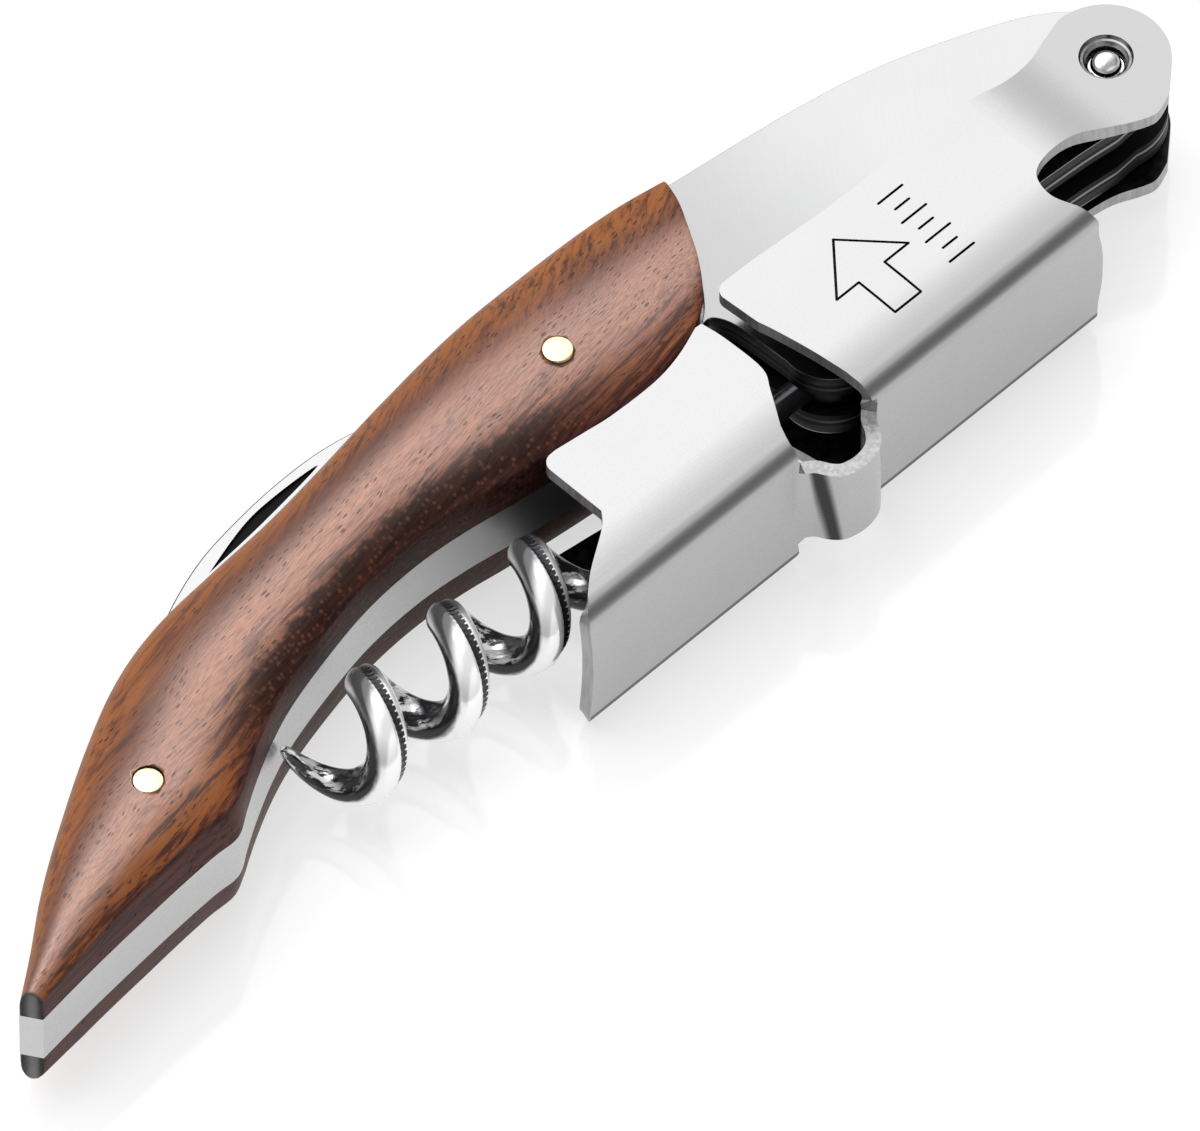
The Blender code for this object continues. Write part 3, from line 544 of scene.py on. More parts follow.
class Look(Nodes):
    """A Principled material and the calls that give it a texture."""

    def __init__(self, name, roughness, metallic=0.0, ior=1.45, coat_roughness=0.1):
        self.material = bpy.data.materials.new(name)
        self.material.use_nodes = True
        super().__init__(self.material.node_tree)
        self.give({"Roughness": roughness, "Metallic": metallic, "IOR": ior,
                   "Coat Roughness": coat_roughness})

    def give(self, inputs):
        """Sets or links the shader's inputs."""
        for name, value in inputs.items():
            self.link(value, self.tree.nodes["Principled BSDF"].inputs[name])

    def finished(self, colour, roughness, relief=None, depth=0.0):
        """The material with its colour, its roughness and a relief so many millimetres deep."""
        self.give({"Base Color": colour, "Roughness": roughness})
        if relief:
            self.give({"Normal": self.node("Bump", {"Height": relief, "Distance": depth * MM})})
        return self.material

    def position(self):
        """The point in millimetres from the lever's pivot, along the handle, across it and up."""
        moved = self.vector("SUBTRACT", self.node("TexCoord", {}, "Object"), PIVOT)
        return self.node("VectorMath", {0: moved, "Scale": 1 / MM}, operation="SCALE")

    def attribute(self, name):
        return self.node("Attribute", {}, "Fac", attribute_name=name)

    def turned(self, vector, degrees, scale=(1, 1, 1)):
        """The vector turned about Z, then scaled along each axis."""
        angle = math.radians(degrees)
        spun = self.node("VectorRotate", {"Vector": vector, "Angle": -angle}, rotation_type="Z_AXIS")
        return self.vector("MULTIPLY", spun, scale)

    def noise(self, vector, detail, rough=0.5, scale=1.0, output=0):
        inputs = {"Vector": vector, "Scale": scale, "Detail": detail, "Roughness": rough}
        return self.node("TexNoise", inputs, output)

    def cells(self, vector, scale=1.0):
        """The distance to the nearest of scattered points; its Color is that point's own."""
        return self.node("TexVoronoi", {"Vector": vector, "Scale": scale}, "Distance")

    def ramp(self, value, stops):
        made = self.node("ValToRGB", {0: value})
        elements = made.socket.node.color_ramp.elements
        while len(elements) < len(stops):
            elements.new(0.5)
        for element, (at, colour) in zip(elements, stops):
            element.position = at
            element.color = (*colour, 1)
        return made

    def mix(self, a, b, factor):
        a, b = ((*colour, 1) if isinstance(colour, tuple) else colour for colour in (a, b))
        return self.node("Mix", {0: factor, 6: a, 7: b}, 2, data_type="RGBA")


def gray(value):
    return value, value, value


def steel(name, tone, roughness, relief=0.0004, direction=0.0, shade=None, shaded=gray(0.03)):
    """Stainless steel with a fine polish in one direction; shade says where painted shade darkens it and
    where it turns rougher.
    """
    look = Look(name, roughness, metallic=1.0)
    spot = look.position()
    strokes = look.noise(look.turned(spot, direction, (0.25, 9.0, 9.0)), 4.0, 0.6)
    clouds = look.noise(spot, 2.0, scale=0.12)
    colour = look.mix(tuple(c * 0.95 for c in tone), tone, clouds)
    rough = look.band(strokes, 0.25, 0.75, roughness - 0.05, roughness + 0.05)
    if shade:
        # Painted shade: the colour turns towards shaded where the shade function says.
        dark, rougher = shade(look, *look.split(spot))
        colour = look.mix(colour, shaded, dark)
        rough = rough + rougher * 0.35
    return look.finished(colour, rough, strokes, relief)


def lever_shade(look, along, across, height):
    """How much painted shade darkens the lever: up the walls, along the bends, in the bump's hollow and at
    the ears.
    """
    strength = look.band(across, WEB_Y - 0.4, WEB_Y + 1.2, 0.17, 0.4)
    walls = strength * look.band(across, WEB_Y + 6.5, WEB_Y + 1.0)
    on_wall = look.band(across, WEB_Y + 0.5, WEB_Y + 3.0, 0.0, 0.09)
    ear = look.band(along, -14.0, -4.0, 0.0, 0.28)
    from_web = across - (WEB_Y - SHEET / 2)
    from_wall = abs(height) - LEVER_HALF_WIDTH
    to_corner = look.math("SQRT", from_web * from_web + from_wall * from_wall)
    # A painted dark reflection line along each bend.
    bend = look.band(to_corner, 1.45, 0.74) * 0.76
    # Painted shade in the bump's hollow.
    from_hollow = abs(along + height * 0.1 - STEP_BUMP[3][0])
    hollow = look.band(from_hollow, 0.7, 0.15) * look.band(across, WEB_Y + 1.5, WEB_Y + 0.6)
    from_fold = abs(height + (WEB_HALF + 0.3))
    far_fold = look.band(from_fold, 0.5, 0.3) * look.band(across, WEB_Y + 0.3, WEB_Y - 0.1)
    dark = look.most(walls, on_wall, ear, bend, hollow * 0.97, far_fold * 0.8)
    return dark, look.band(to_corner, 2.3, 0.8)


def bolster_shade(look, along, _, height):
    """How much painted shade darkens the bolster, towards the wood and on its sheared sides."""
    sides = look.band(abs(height), BOLSTER_TOP - 0.02, BOLSTER_TOP - 0.15)
    near_wood = look.band(along, -16.0, -36.0) * 0.24
    return look.most(near_wood, sides * 0.97), sides


def strip_shade(look, along, across, height):
    """How much painted shade darkens the liners and spacers where the lever covers them, but for a painted
    glint line on each.
    """
    covered = look.band(along, -80.0, -45.0) * look.band(across, 6.0, 3.5)
    painted_glint_line = look.band(abs(abs(height) - 2.05), 0.22, 0.04) * look.band(along, -40.0, -30.0)
    return covered * (1.0 - painted_glint_line * 0.6), covered


def chrome(name):
    """Bright plating with faint scuffs."""
    look = Look(name, 0.08, metallic=1.0)
    scuffs = look.noise(look.position(), 5.0, 0.65, scale=2.2)
    colour = look.mix((0.62, 0.62, 0.63), (0.78, 0.78, 0.79), look.band(scuffs, 0.3, 0.7))
    return look.finished(colour, look.band(scuffs, 0.35, 0.8, 0.05, 0.17), scuffs, 0.004)


def wire_chrome(name):
    """The worm's plating with painted reflections: a bright outer face and glints, dark along its sides, in
    its groove, on faces that look up and back, and near the head.
    """
    look = Look(name, 0.16, metallic=0.5)
    spot = look.position()
    outer = look.attribute("outer")
    headward = look.attribute("headward")
    wire = look.node("CombineXYZ", {"X": look.attribute("turns") * 5.0, "Y": outer, "Z": headward})
    streaks = look.noise(wire, 4.0, 0.6, scale=1.6)
    scuffs = look.noise(spot, 4.0, 0.6, scale=1.4)
    around = look.math("ARCTAN2", headward, outer) + (streaks - 0.5) * 0.5
    face = look.band(around, -1.35, -1.05) * look.band(around, 1.45, 1.15)
    # Painted glints on the wire's inner side, streaked along it.
    glint = look.band(outer, -0.1, -0.5) * look.band(streaks, 0.48, 0.56)
    _, back, up = look.split(look.node("TexCoord", {}, "Normal"))
    # Painted dark reflection on faces that look up and back.
    away = look.band(back, -0.25, 0.25) * look.band(up, 0.2, 0.6)
    along = look.split(spot)[0]
    # The painted lit face and glints, with painted shade near the head inside the lever.
    lit = look.most(face, glint) * (1.0 - away * 0.9) * look.band(along, -42.0, -46.0)
    colour = look.mix((0.035, 0.035, 0.038), gray(0.97), lit)
    return look.finished(colour, look.band(scuffs, 0.35, 0.8, 0.1, 0.26), scuffs, 0.004)


def brass(name):
    look = Look(name, 0.22, metallic=1.0)
    rings = look.noise(look.turned(look.position(), 25, (0.8, 7.0, 1.0)), 3.0)
    colour = look.mix((0.93, 0.80, 0.42), (0.99, 0.91, 0.60), rings)
    return look.finished(colour, look.band(rings, 0.3, 0.7, 0.16, 0.3), rings, 0.003)


def cut_steel(name):
    """The sheared edge of the lever's sheet: duller, with fine lines across it."""
    look = Look(name, 0.34, metallic=0.75)
    lines = look.noise(look.turned(look.position(), 0, (3.0, 3.0, 0.3)), 3.0, 0.6)
    shine = look.band(lines, 0.3, 0.7)
    colour = look.mix((0.3, 0.3, 0.305), (0.44, 0.44, 0.445), shine)
    return look.finished(colour, look.band(lines, 0.3, 0.7, 0.28, 0.42), lines, 0.004)


def dark_steel(name, tone, roughness=0.35):
    """Steel of a dark tone with clouds of random tone: painted shade, painted dark outlines and the dark
    engraving.
    """
    look = Look(name, roughness, metallic=1.0)
    tone_clouds = look.noise(look.position(), 4.0, 0.6, scale=1.1)
    colour = look.mix(tuple(c * 0.5 for c in tone), tone, look.band(tone_clouds, 0.3, 0.75))
    return look.finished(colour, look.band(tone_clouds, 0.3, 0.7, roughness - 0.08, roughness + 0.15))


def wood_fibres(look, spot, along, across):
    """The grain: broad figure, streaks, fine lines and pores, steeper along the back of the front half."""
    drift = look.noise(look.turned(spot, GRAIN_TURN, (0.05, 0.16, 0.16)), 2.0, output="Color")
    sway = look.vector("MULTIPLY", look.vector("SUBTRACT", drift, gray(0.5)), (0.0, 3.6, 2.0))

    def laid(scale, degrees=GRAIN_TURN):
        return look.vector("MULTIPLY", look.vector("ADD", look.turned(spot, degrees), sway), scale)

    def blended(scale, detail, rough):
        low = look.noise(laid(scale), detail, rough)
        steep = look.noise(laid(scale, STEEP_GRAIN_TURN), detail, rough)
        at_back = look.band(across, 0.5, 0.8) * look.band(along, 0.4, 0.6)
        return look.node("Mix", {0: at_back, 2: low, 3: steep})

    figure = look.noise(laid((0.035, 0.34, 0.34)), 3.0, 0.55)
    streaks = blended((0.16, 2.4, 2.4), 4.0, 0.62)
    lines = blended((0.9, 11.0, 11.0), 3.0, 0.6)
    pores = look.cells(laid((0.95, 6.4, 1.1)))
    groups = look.noise(laid((0.12, 0.5, 0.3)), 2.0)
    chance = look.node("SeparateColor", {0: pores.beside("Color")})
    opened = look.math("LESS_THAN", chance, look.band(groups, 0.4, 0.6, 0.04, 0.42))
    return figure, streaks, lines, look.band(pores, 0.34, 0.22) * opened


def rosewood(name):
    """Oiled rosewood: warm bands, a painted highlight on the crest, painted shade at the back, towards the
    underside and on the lower flank, a dark mottled lower side that is partly painted shade, and a
    near-black tail end.
    """
    look = Look(name, 0.42, ior=1.5, coat_roughness=0.3)
    spot = look.position()
    along = look.attribute("along")
    across = look.attribute("across")
    figure, streaks, lines, pores = wood_fibres(look, spot, along, across)
    colour = look.ramp(figure * 0.36 + streaks * 0.36 + lines * 0.28, WOOD_TONES)

    crest = look.band(across, 0.15, 0.38) * look.band(across, 0.76, 0.48)
    # A painted pinkish highlight along the crest, following the fine grain lines.
    painted_crest_highlight = crest * look.band(lines, 0.3, 0.62, 0.35, 0.8)
    colour = look.mix(colour, (0.66, 0.355, 0.26), painted_crest_highlight * 0.64)
    # Painted shade along the back of the handle, fading out near the bolster.
    behind = look.band(across, 0.45, 0.72) * look.band(along, 0.95, 0.65)
    colour = look.mix(colour, (0.09, 0.027, 0.015), behind * 0.55)

    warm = look.band(across, 0.66, 0.88) * look.band(streaks, 0.32, 0.58)
    colour = look.mix(colour, (0.32, 0.105, 0.018), warm * 0.62)
    tail_ridge = look.band(across, 0.05, 0.1) * look.band(across, 0.4, 0.22) * look.band(along, 0.38, 0.26)
    colour = look.mix(colour, (0.27, 0.082, 0.013), tail_ridge * look.band(streaks, 0.4, 0.56) * 0.6)

    shadowed = look.band(streaks, 0.5, 0.4) * look.band(across, 0.5, 0.2)
    colour = look.mix(colour, (0.05, 0.016, 0.012), shadowed * 0.7)

    # A dark mottled patch on the lower middle: partly the wood's own dark mottle, partly painted shade where
    # the lever shades it.
    reach = look.band(across, 0.38, 0.04) + (0.5 - look.noise(spot, 5.0, 0.65, scale=0.6))
    middle = look.band(along, 0.28, 0.42) * look.band(along, 0.92, 0.74)
    patch = look.band(reach, 0.3, 0.62) * middle
    pebbles = look.band(look.cells(spot, 1.7), 0.42, 0.16)
    mottle_and_shade = look.mix((0.012, 0.004, 0.003), (0.13, 0.045, 0.022), pebbles * 0.6)
    colour = look.mix(colour, mottle_and_shade, patch * 0.88)

    # Painted shade in deep maroon on the steep lower flank, less where the mottled patch lies.
    flank = look.band(across, 0.075, 0.04)
    maroon = look.mix((0.022, 0.007, 0.007), (0.085, 0.029, 0.025), look.band(streaks, 0.36, 0.6))
    colour = look.mix(colour, maroon, flank * look.band(patch, 0.0, 1.0, 0.92, 0.4))
    colour = look.mix(colour, (0.016, 0.015, 0.017), look.band(along, 0.004, 0.0))
    colour = look.mix(colour, (0.03, 0.010, 0.008), pores * 0.85)

    shine = look.band(across, 0.06, 0.3, 0.12, 0.5) * look.band(across, 0.9, 0.55, 0.3, 1.0)
    look.give({"Coat Weight": crest * 0.9, "Specular IOR Level": shine})
    relief = lines * 0.5 + streaks * 0.3 - pores
    return look.finished(colour, look.band(streaks, 0.3, 0.7, 0.36, 0.52), relief, 0.035)


def finish(obj, body, node, material=None):
    """Gives a piece its body and, if given, its one material, and hides the CAD node that it stands for."""
    if material:
        recoated(obj, material)
    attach(obj, body)
    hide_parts(node)


# ---------------- frame

def head_lower_line():
    lobe = arc(WORM_PIVOT, WORM_LOBE_RADIUS, 170, 290, 24)
    return smooth(HEAD_UNDERSIDE) + lobe + smooth(HEAD_THROAT)


def head_round():
    return arc(LEVER_PIVOT, HEAD_RADIUS, -105, 35, 30)


def frame_outline():
    return (smooth(UNDERSIDE) + head_lower_line() + head_round()
            + smooth(HEAD_BACK)[::-1] + smooth(BACK)[::-1])


def side_plates(kind, outline, inner, outer, slot, **details):
    """The near and the far plate of a kind, between two distances from the middle plane."""
    for word, side in SIDES:
        name = word + "_" + kind
        bottom, top = sorted((side * inner, side * outer))
        finish(plate(name + "_plate", outline, bottom, top, **details), "handle", name)


def liners(satin):
    holes = [(pin, PIN_HOLE) for pin in (KNIFE_PIVOT, HANDLE_PIN, WORM_PIVOT)] + [(LEVER_PIVOT, RIVET_HOLE)]
    side_plates("liner", frame_outline(), LINER_BOTTOM, LINER_TOP, "steel", metals=[satin], holes=holes)


def spacers(satin):
    """The strip along the underside and round the tail, and the one along the back of the head."""
    lower = smooth(UNDERSIDE)
    upper = [p for p in raised(lower, SPINE_HEIGHT) if p[0] > TAIL_BLOCK[-1][0] + SPINE_HEIGHT / 2]
    spine = lower + upper[::-1] + (BACK[:1] + TAIL_BLOCK)[::-1]
    back = [p for p in smooth(BACK) if p[0] > BACK_SPACER_INNER[-1][0]]
    back = BACK_SPACER_INNER + back + [p for p in smooth(HEAD_BACK) if p[0] < BACK_SPACER_END]
    for name, outline, node in (("spine_strip", spine, "spine_spacer"), ("back_strip", back, "back_spacer")):
        finish(plate(name, outline, -SPACER_TOP, SPACER_TOP, [satin]), "handle", node)


def bolsters(polished, edge):
    front = [(x + BOLSTER_GAP, y) for x, y in smooth(SCALE_FRONT)]
    outline = head_lower_line()[1:] + head_round() + smooth(HEAD_BACK)[::-1] + front[::-1]
    # The rounded rim takes the edge steel, a painted dark outline.
    side_plates("bolster", outline, BOLSTER_BOTTOM, BOLSTER_TOP, "polished_steel", metals=[polished, edge],
                holes=[(LEVER_PIVOT, RIVET_HOLE)], rim=BOLSTER_RIM)


# ---------------- scales

def scale_stations(length):
    """Parts of the length and how far each section is lowered there, which rounds the ends."""
    angles = [math.pi / 2 * i / SCALE_END_STEPS for i in range(SCALE_END_STEPS)]
    tail = [(SCALE_END_ROUND * (1 - math.cos(a)) / length, SCALE_END_ROUND * (1 - math.sin(a)))
            for a in angles]
    inner = [i / SCALE_STATIONS for i in range(1, SCALE_STATIONS)]
    full = [(s, 0.0) for s in inner if SCALE_END_ROUND < s * length < length - SCALE_END_ROUND]
    return tail + full + [(1 - s, drop) for s, drop in reversed(tail)]


def scale_section(sections, s):
    """The section at part s of the length: flat at the tail's flank, and square at the bolster."""
    flat = clamped((FLANK_GONE - s) / (FLANK_GONE - FLANK_ENDS))
    square = max(0.0, (s - SQUARE_STARTS) / (1 - SQUARE_STARTS)) ** SQUARE_GROWS
    crown = interpolate(CROWN_ALONG, s) * CROWN_HEIGHT
    found = []
    for trio in zip(*sections):
        plain, flank, box = (Vector(point) for point in trio)
        t, height = plain + (flank - plain) * flat + (box - plain) * square
        found.append((t, height * crown))
    return found


def scale(name, side, wood):
    """A crowned wooden scale, lofted from the tail to the bolster, with rounded end edges."""
    lower = Line(smooth(UNDERSIDE) + [SCALE_FRONT[0]])
    back = Line(smooth(BACK))
    front = Line(smooth(SCALE_FRONT))
    sections = [smooth(table, SECTION_STEPS) for table in (ROUND_SECTION, FLAT_SECTION, SQUARE_SECTION)]
    bm = bmesh.new()
    along = bm.verts.layers.float.new("along")
    across = bm.verts.layers.float.new("across")
    rings = []
    for s, drop in scale_stations((lower.marks[-1] + back.marks[-1]) / 2):
        start, end = lower.at(s), back.at(s)
        least = drop / (end - start).length
        ring = []
        for t, height in scale_section(sections, s):
            t = min(1 - least, max(least, t))
            bulge = front.at(t) - front.points[0].lerp(front.points[-1], t)
            spot = start.lerp(end, t) + bulge * max(0.0, 1 - (1 - s) / FRONT_PART) ** 2
            vert = bm.verts.new(place(spot.x, spot.y, side * (SCALE_BOTTOM + max(0.0, height - drop))))
            vert[along] = s
            vert[across] = t
            ring.append(vert)
        rings.append(ring)
    loft(bm, rings)
    bm.faces.new(rings[0])
    bm.faces.new(rings[-1])
    bmesh.ops.remove_doubles(bm, verts=bm.verts, dist=0.0005 * MM)
    obj = new_solid(name + "_wood", bm)
    for pin in (KNIFE_PIVOT, HANDLE_PIN):
        drill(obj, pin, PIN_HOLE)
    apply_all(obj, 50)
    finish(obj, "handle", name, wood)


# ---------------- pins

def brass_pin(name, centre, metal):
    """A pin with low domed heads, crowned and rounded at the edge."""
    top = dome(BRASS_PIN_RADIUS, BRASS_PIN_DOME, BRASS_PIN_REACH - BRASS_PIN_DOME, 90, 8)
    obj = apply_all(turned(name + "_turned", centre, top + mirrored(top)), 60)
    finish(obj, "handle", name, metal)


def lever_rivet(metal):
    """The lever's rivet: a shank, a neck groove and a small ball head in each ear's recess."""
    centre = LEVER_RIVET_REACH - RIVET_BALL_HEIGHT
    top = dome(RIVET_BALL_RADIUS, RIVET_BALL_HEIGHT, centre, RIVET_BALL_ANGLE, 12)
    top += [(radius, centre + height) for radius, height in RIVET_NECK]
    top += [(LEVER_RIVET_RADIUS, RIVET_SHANK_HALF)]
    obj = apply_all(turned("lever_rivet_turned", LEVER_PIVOT, top + mirrored(top)), 45)
    finish(obj, "handle", "lever_rivet", metal)


# ---------------- knife

def blade_half_thickness(v):
    """Half the blade's thickness at part v from its spine to its edge."""
    ground = max(0.0, (v - GRIND_START) / (1 - GRIND_START))
    half = BLADE_HALF_THICKNESS + (EDGE_HALF_THICKNESS - BLADE_HALF_THICKNESS) * ground
    return half - (SPINE_ROUND if v == 0 else 0.0)


def ground_blade(satin, rim_metal):
    """The blade, ground thin towards its edge, with a narrow rim along its spine."""
    parts = [0.0, SPINE_ROUND_PART] + spread(0, 1, BLADE_STEPS)[1:]
    around = [(v, 1) for v in parts] + [(v, -1) for v in reversed(parts)]
    spine, edge = Line(smooth(BLADE_SPINE)), Line(smooth(BLADE_EDGE))
    bm = bmesh.new()
    rings = []
    for s in spread(0, 1, BLADE_STATIONS):
        spots = [(spine.at(s).lerp(edge.at(s), v), side * blade_half_thickness(v)) for v, side in around]
        rings.append([bm.verts.new(place(spot.x, spot.y, z)) for spot, z in spots])
    loft(bm, rings)
    # The spine's rim faces take the rim metal, a painted dark outline.
    rim = (0, len(around) - 2, len(around) - 1)
    for index, face in enumerate(bm.faces):
        face.material_index = int(index % len(around) in rim)
    bm.faces.new(rings[0])
    bm.faces.new(rings[-1])
    return coated(new_solid("knife_ground_blade", bm), satin, rim_metal)


def knife(satin, rim_metal, dark):
    """The blade with its round tang and its nail nick."""
    blade = ground_blade(satin, rim_metal)
    tang = cylinder("tang", KNIFE_PIVOT, TANG_RADIUS, -TANG_HALF_THICKNESS, TANG_HALF_THICKNESS)
    boolean(blade, apply_all(bevel(coated(tang, satin), TANG_RIM)), "UNION")
    drill(blade, KNIFE_PIVOT, PIN_HOLE)
    low = BLADE_HALF_THICKNESS - NAIL_NICK_DEPTH
    nick = prism("nick", smooth(NAIL_NICK + NAIL_NICK[:1], 10)[:-1], low, low + 1)
    # The nail nick is lined with the dark steel as painted shade.
    boolean(blade, coated(nick, dark))
    apply_all(blade, 25)
    finish(blade, "knife", "knife_blade")


# ---------------- worm

def worm_centre(turns, pitches, radius):
    """A point on the worm's helix and its direction from the axis."""
    angle = WORM_TIP_ANGLE - 2 * math.pi * turns
    outward = Vector((0, math.cos(angle), math.sin(angle)))
    middle = Vector((WORM_TIP_X + WORM_PITCH * pitches, WORM_AXIS_Y, 0))
    return middle + outward * radius, outward


def worm_stations():
    """Points along the wire: centre, outward direction, wire radius and how deep the groove is."""
    found = []
    for i in range(WORM_TURNS * WORM_STEPS + 1):
        turns = i / WORM_STEPS
        taper = min(1.0, WORM_TIP_PART + (1 - WORM_TIP_PART) * turns / WORM_TAPER_TURNS)
        tick = 1 - GROOVE_TICK_PART + GROOVE_TICK_PART * math.sin(2 * math.pi * GROOVE_TICKS * turns)
        groove = tick * clamped((turns - GROOVE_STARTS) / GROOVE_GROWS)
        found.append((*worm_centre(turns, turns, WORM_RADIUS), WORM_WIRE_RADIUS * taper, groove))
    for part in spread(0, 1, WORM_STEPS // 3)[1:]:
        centre, outward = worm_centre(WORM_TURNS + RUN_IN_TURNS * part, WORM_TURNS + RUN_IN_PITCHES * part,
                                      WORM_RADIUS * (1 - part) ** RUN_IN_POWER)
        radius = WORM_WIRE_RADIUS + (WORM_SHANK_RADIUS - WORM_WIRE_RADIUS) * part ** 2
        found.append((centre, outward, radius, max(0.0, 1 - 3 * part)))
    found.append((Vector((WORM_PIVOT[0] - SHANK_END, WORM_AXIS_Y, 0)), outward, WORM_SHANK_RADIUS, 0.0))
    return found


def groove_cut(angle, groove):
    """How deep the groove is at an angle round the wire."""
    off = abs(angle - GROOVE_AT) / GROOVE_HALF_ANGLE
    return GROOVE_DEPTH * groove * max(0.0, 1 - off ** 4)


def worm_wire(plating):
    """The wire with a ticked groove on its outer side, its points marked for the plating's painted
    reflections and shade.
    """
    stations = worm_stations()
    centres = [station[0] for station in stations]
    bm = bmesh.new()
    outer, headward, turns = [bm.verts.layers.float.new(word) for word in ("outer", "headward", "turns")]
    rings = []
    for i, (centre, outward, radius, groove) in enumerate(stations):
        tangent = (centres[min(i + 1, len(centres) - 1)] - centres[max(i - 1, 0)]).normalized()
        out = (outward - tangent * outward.dot(tangent)).normalized()
        side = tangent.cross(out)
        side *= math.copysign(1.0, side.x)
        ring = []
        for j in range(WORM_SIDES):
            angle = 2 * math.pi * j / WORM_SIDES
            cut = groove_cut(angle, groove)
            spot = centre + (out * math.cos(angle) + side * math.sin(angle)) * (radius - cut)
            vert = bm.verts.new(place(*spot))
            # Points in the groove are marked so that the plating paints them dark, as painted shade.
            in_groove = cut > 0.3 * GROOVE_DEPTH
            vert[outer] = 0.0 if in_groove else math.cos(angle)
            vert[headward] = 2.0 if in_groove else math.sin(angle)
            vert[turns] = i / WORM_STEPS
            ring.append(vert)
        rings.append(ring)
    loft(bm, rings)
    for ring, at in ((rings[0], centres[0]), (rings[-1], centres[-1])):
        middle = bm.verts.new(place(*at))
        for j in range(WORM_SIDES):
            bm.faces.new((ring[j], ring[(j + 1) % WORM_SIDES], middle))
    return coated(new_solid("worm_wire", bm), plating)


def worm(plating, dark):
    """The worm's wire and its flat round eye."""
    obj = worm_wire(plating)
    # The eye is of the dark steel, painted shade inside the lever's head.
    eye = cylinder("eye", WORM_PIVOT, WORM_EYE_RADIUS, -WORM_EYE_HALF_THICKNESS, WORM_EYE_HALF_THICKNESS)
    boolean(obj, apply_all(bevel(coated(eye, dark), WORM_EYE_RIM)), "UNION")
    drill(obj, WORM_PIVOT, PIN_HOLE)
    apply_all(obj, 50)
    finish(obj, "worm", "worm_screw")


# ---------------- lever

def wall(points):
    """Outline points on a wall, moved to the flat sheet."""
    return [(x, WALL_START + y - (WEB_Y + BEND_RADIUS)) for x, y in points]


def half_blank():
    """Half of the lever's flat sheet, from the web's end at the head to its tip."""
    ear = arc(LEVER_PIVOT, EAR_RADIUS, -44, 92, 36)
    first_step = smooth(WALL_TOP, 6) + arc(*TOP_CORNER, 10) + smooth(FIRST_STEP_HEAD_SIDE, 4)
    second_step = smooth(FIRST_STEP_TIP_SIDE, 5) + smooth(LOW_WALL_TOP, 5) + arc(*LOW_CORNER, 10)
    return (smooth(WEB_HEAD_END, 5) + wall(smooth(LIFTER_GAP, 6) + ear + first_step) + BESIDE_STRAP
            + wall(second_step) + smooth(wall(LOW_WALL_END) + WEB_TIP, 6))


def joggled(x):
    """The height of a wall's middle: it steps in to the ear."""
    part = clamped((x - JOGGLE_START) / (JOGGLE_END - JOGGLE_START))
    return WALL_Z + (EAR_Z - WALL_Z) * part * part * (3 - 2 * part)


BUMP_LINE = Line(smooth(STEP_BUMP, 8))


def folded(along, across):
    """A point of the flat sheet on the folded lever, whose walls fall away a little to the bend."""
    side = math.copysign(1.0, across)
    across = abs(across)
    if across <= WEB_HALF:
        start, end = STEP_BUMP[0][0], STEP_BUMP[-1][0]
        if start < along < end:
            spot = BUMP_LINE.at((along - start) / (end - start))
            return spot.x, spot.y, side * across
        return along, WEB_Y, side * across
    if across <= WALL_START:
        angle = (across - WEB_HALF) / BEND_RADIUS
        z = WEB_HALF + (BEND_RADIUS - WALL_DIP) * math.sin(angle)
        return along, WEB_Y + BEND_RADIUS * (1 - math.cos(angle)), side * z
    left = max(0.0, 1 - (across - WALL_START) / DIP_REACH)
    return along, WEB_Y + BEND_RADIUS + across - WALL_START, side * (joggled(along) - WALL_DIP * left ** 2)


def stroke(points):
    """A groove's cutter along a line of points on the near wall."""
    half = ENGRAVING_WIDTH / 2
    bottom = LEVER_HALF_WIDTH - WALL_DIP - ENGRAVING_DEPTH
    made = None
    for start, end in zip(points, points[1:]):
        angle = math.degrees(math.atan2(end[1] - start[1], end[0] - start[0]))
        outline = arc(end, half, angle - 90, angle + 90, 8) + arc(start, half, angle + 90, angle + 270, 8)
        piece = prism("stroke", outline, bottom, LEVER_HALF_WIDTH + 1)
        made = boolean(made, piece, "UNION") if made else piece
    return made


def engrave(obj, metal):
    """Cuts the arrow and the strokes into the near wall."""
    cutters = [stroke(ARROW + ARROW[:1])]
    for i in range(STROKE_COUNT):
        y = STROKE_FIRST_Y - STROKE_STEP * i
        half = STROKE_LENGTHS[i % len(STROKE_LENGTHS)] / 2
        cutters.append(stroke([(STROKE_X - half, y), (STROKE_X + half, y)]))
    for cutter in cutters:
        boolean(obj, recoated(cutter, metal))


def folded_sheet():
    """The lever's flat sheet, cut to its outline, divided where it bends, and folded."""
    half = half_blank()
    blank = half + [(x, -across) for x, across in reversed(half)]
    bm = bmesh.new()
    bm.faces.new([bm.verts.new((x, across, 0)) for x, across in blank])
    ups = spread(JOGGLE_START, JOGGLE_END, JOGGLE_STEPS)
    ups += spread(STEP_BUMP[0][0], STEP_BUMP[-1][0], BUMP_STEPS)
    bends = spread(WEB_HALF, WALL_START, BEND_STEPS)
    bends += spread(WALL_START, WALL_START + DIP_REACH, DIP_STEPS)[1:]
    cuts = [((x, 0, 0), (1, 0, 0)) for x in ups]
    cuts += [((0, across, 0), (0, 1, 0)) for across in bends + [-b for b in bends]]
    for point, normal in cuts:
        geometry = bm.verts[:] + bm.edges[:] + bm.faces[:]
        bmesh.ops.bisect_plane(bm, geom=geometry, dist=1e-5, plane_co=point, plane_no=normal)
    for vert in bm.verts:
        vert.co = place(*folded(vert.co.x, vert.co.y))
    return new_object("lever_folded_sheet", bm)


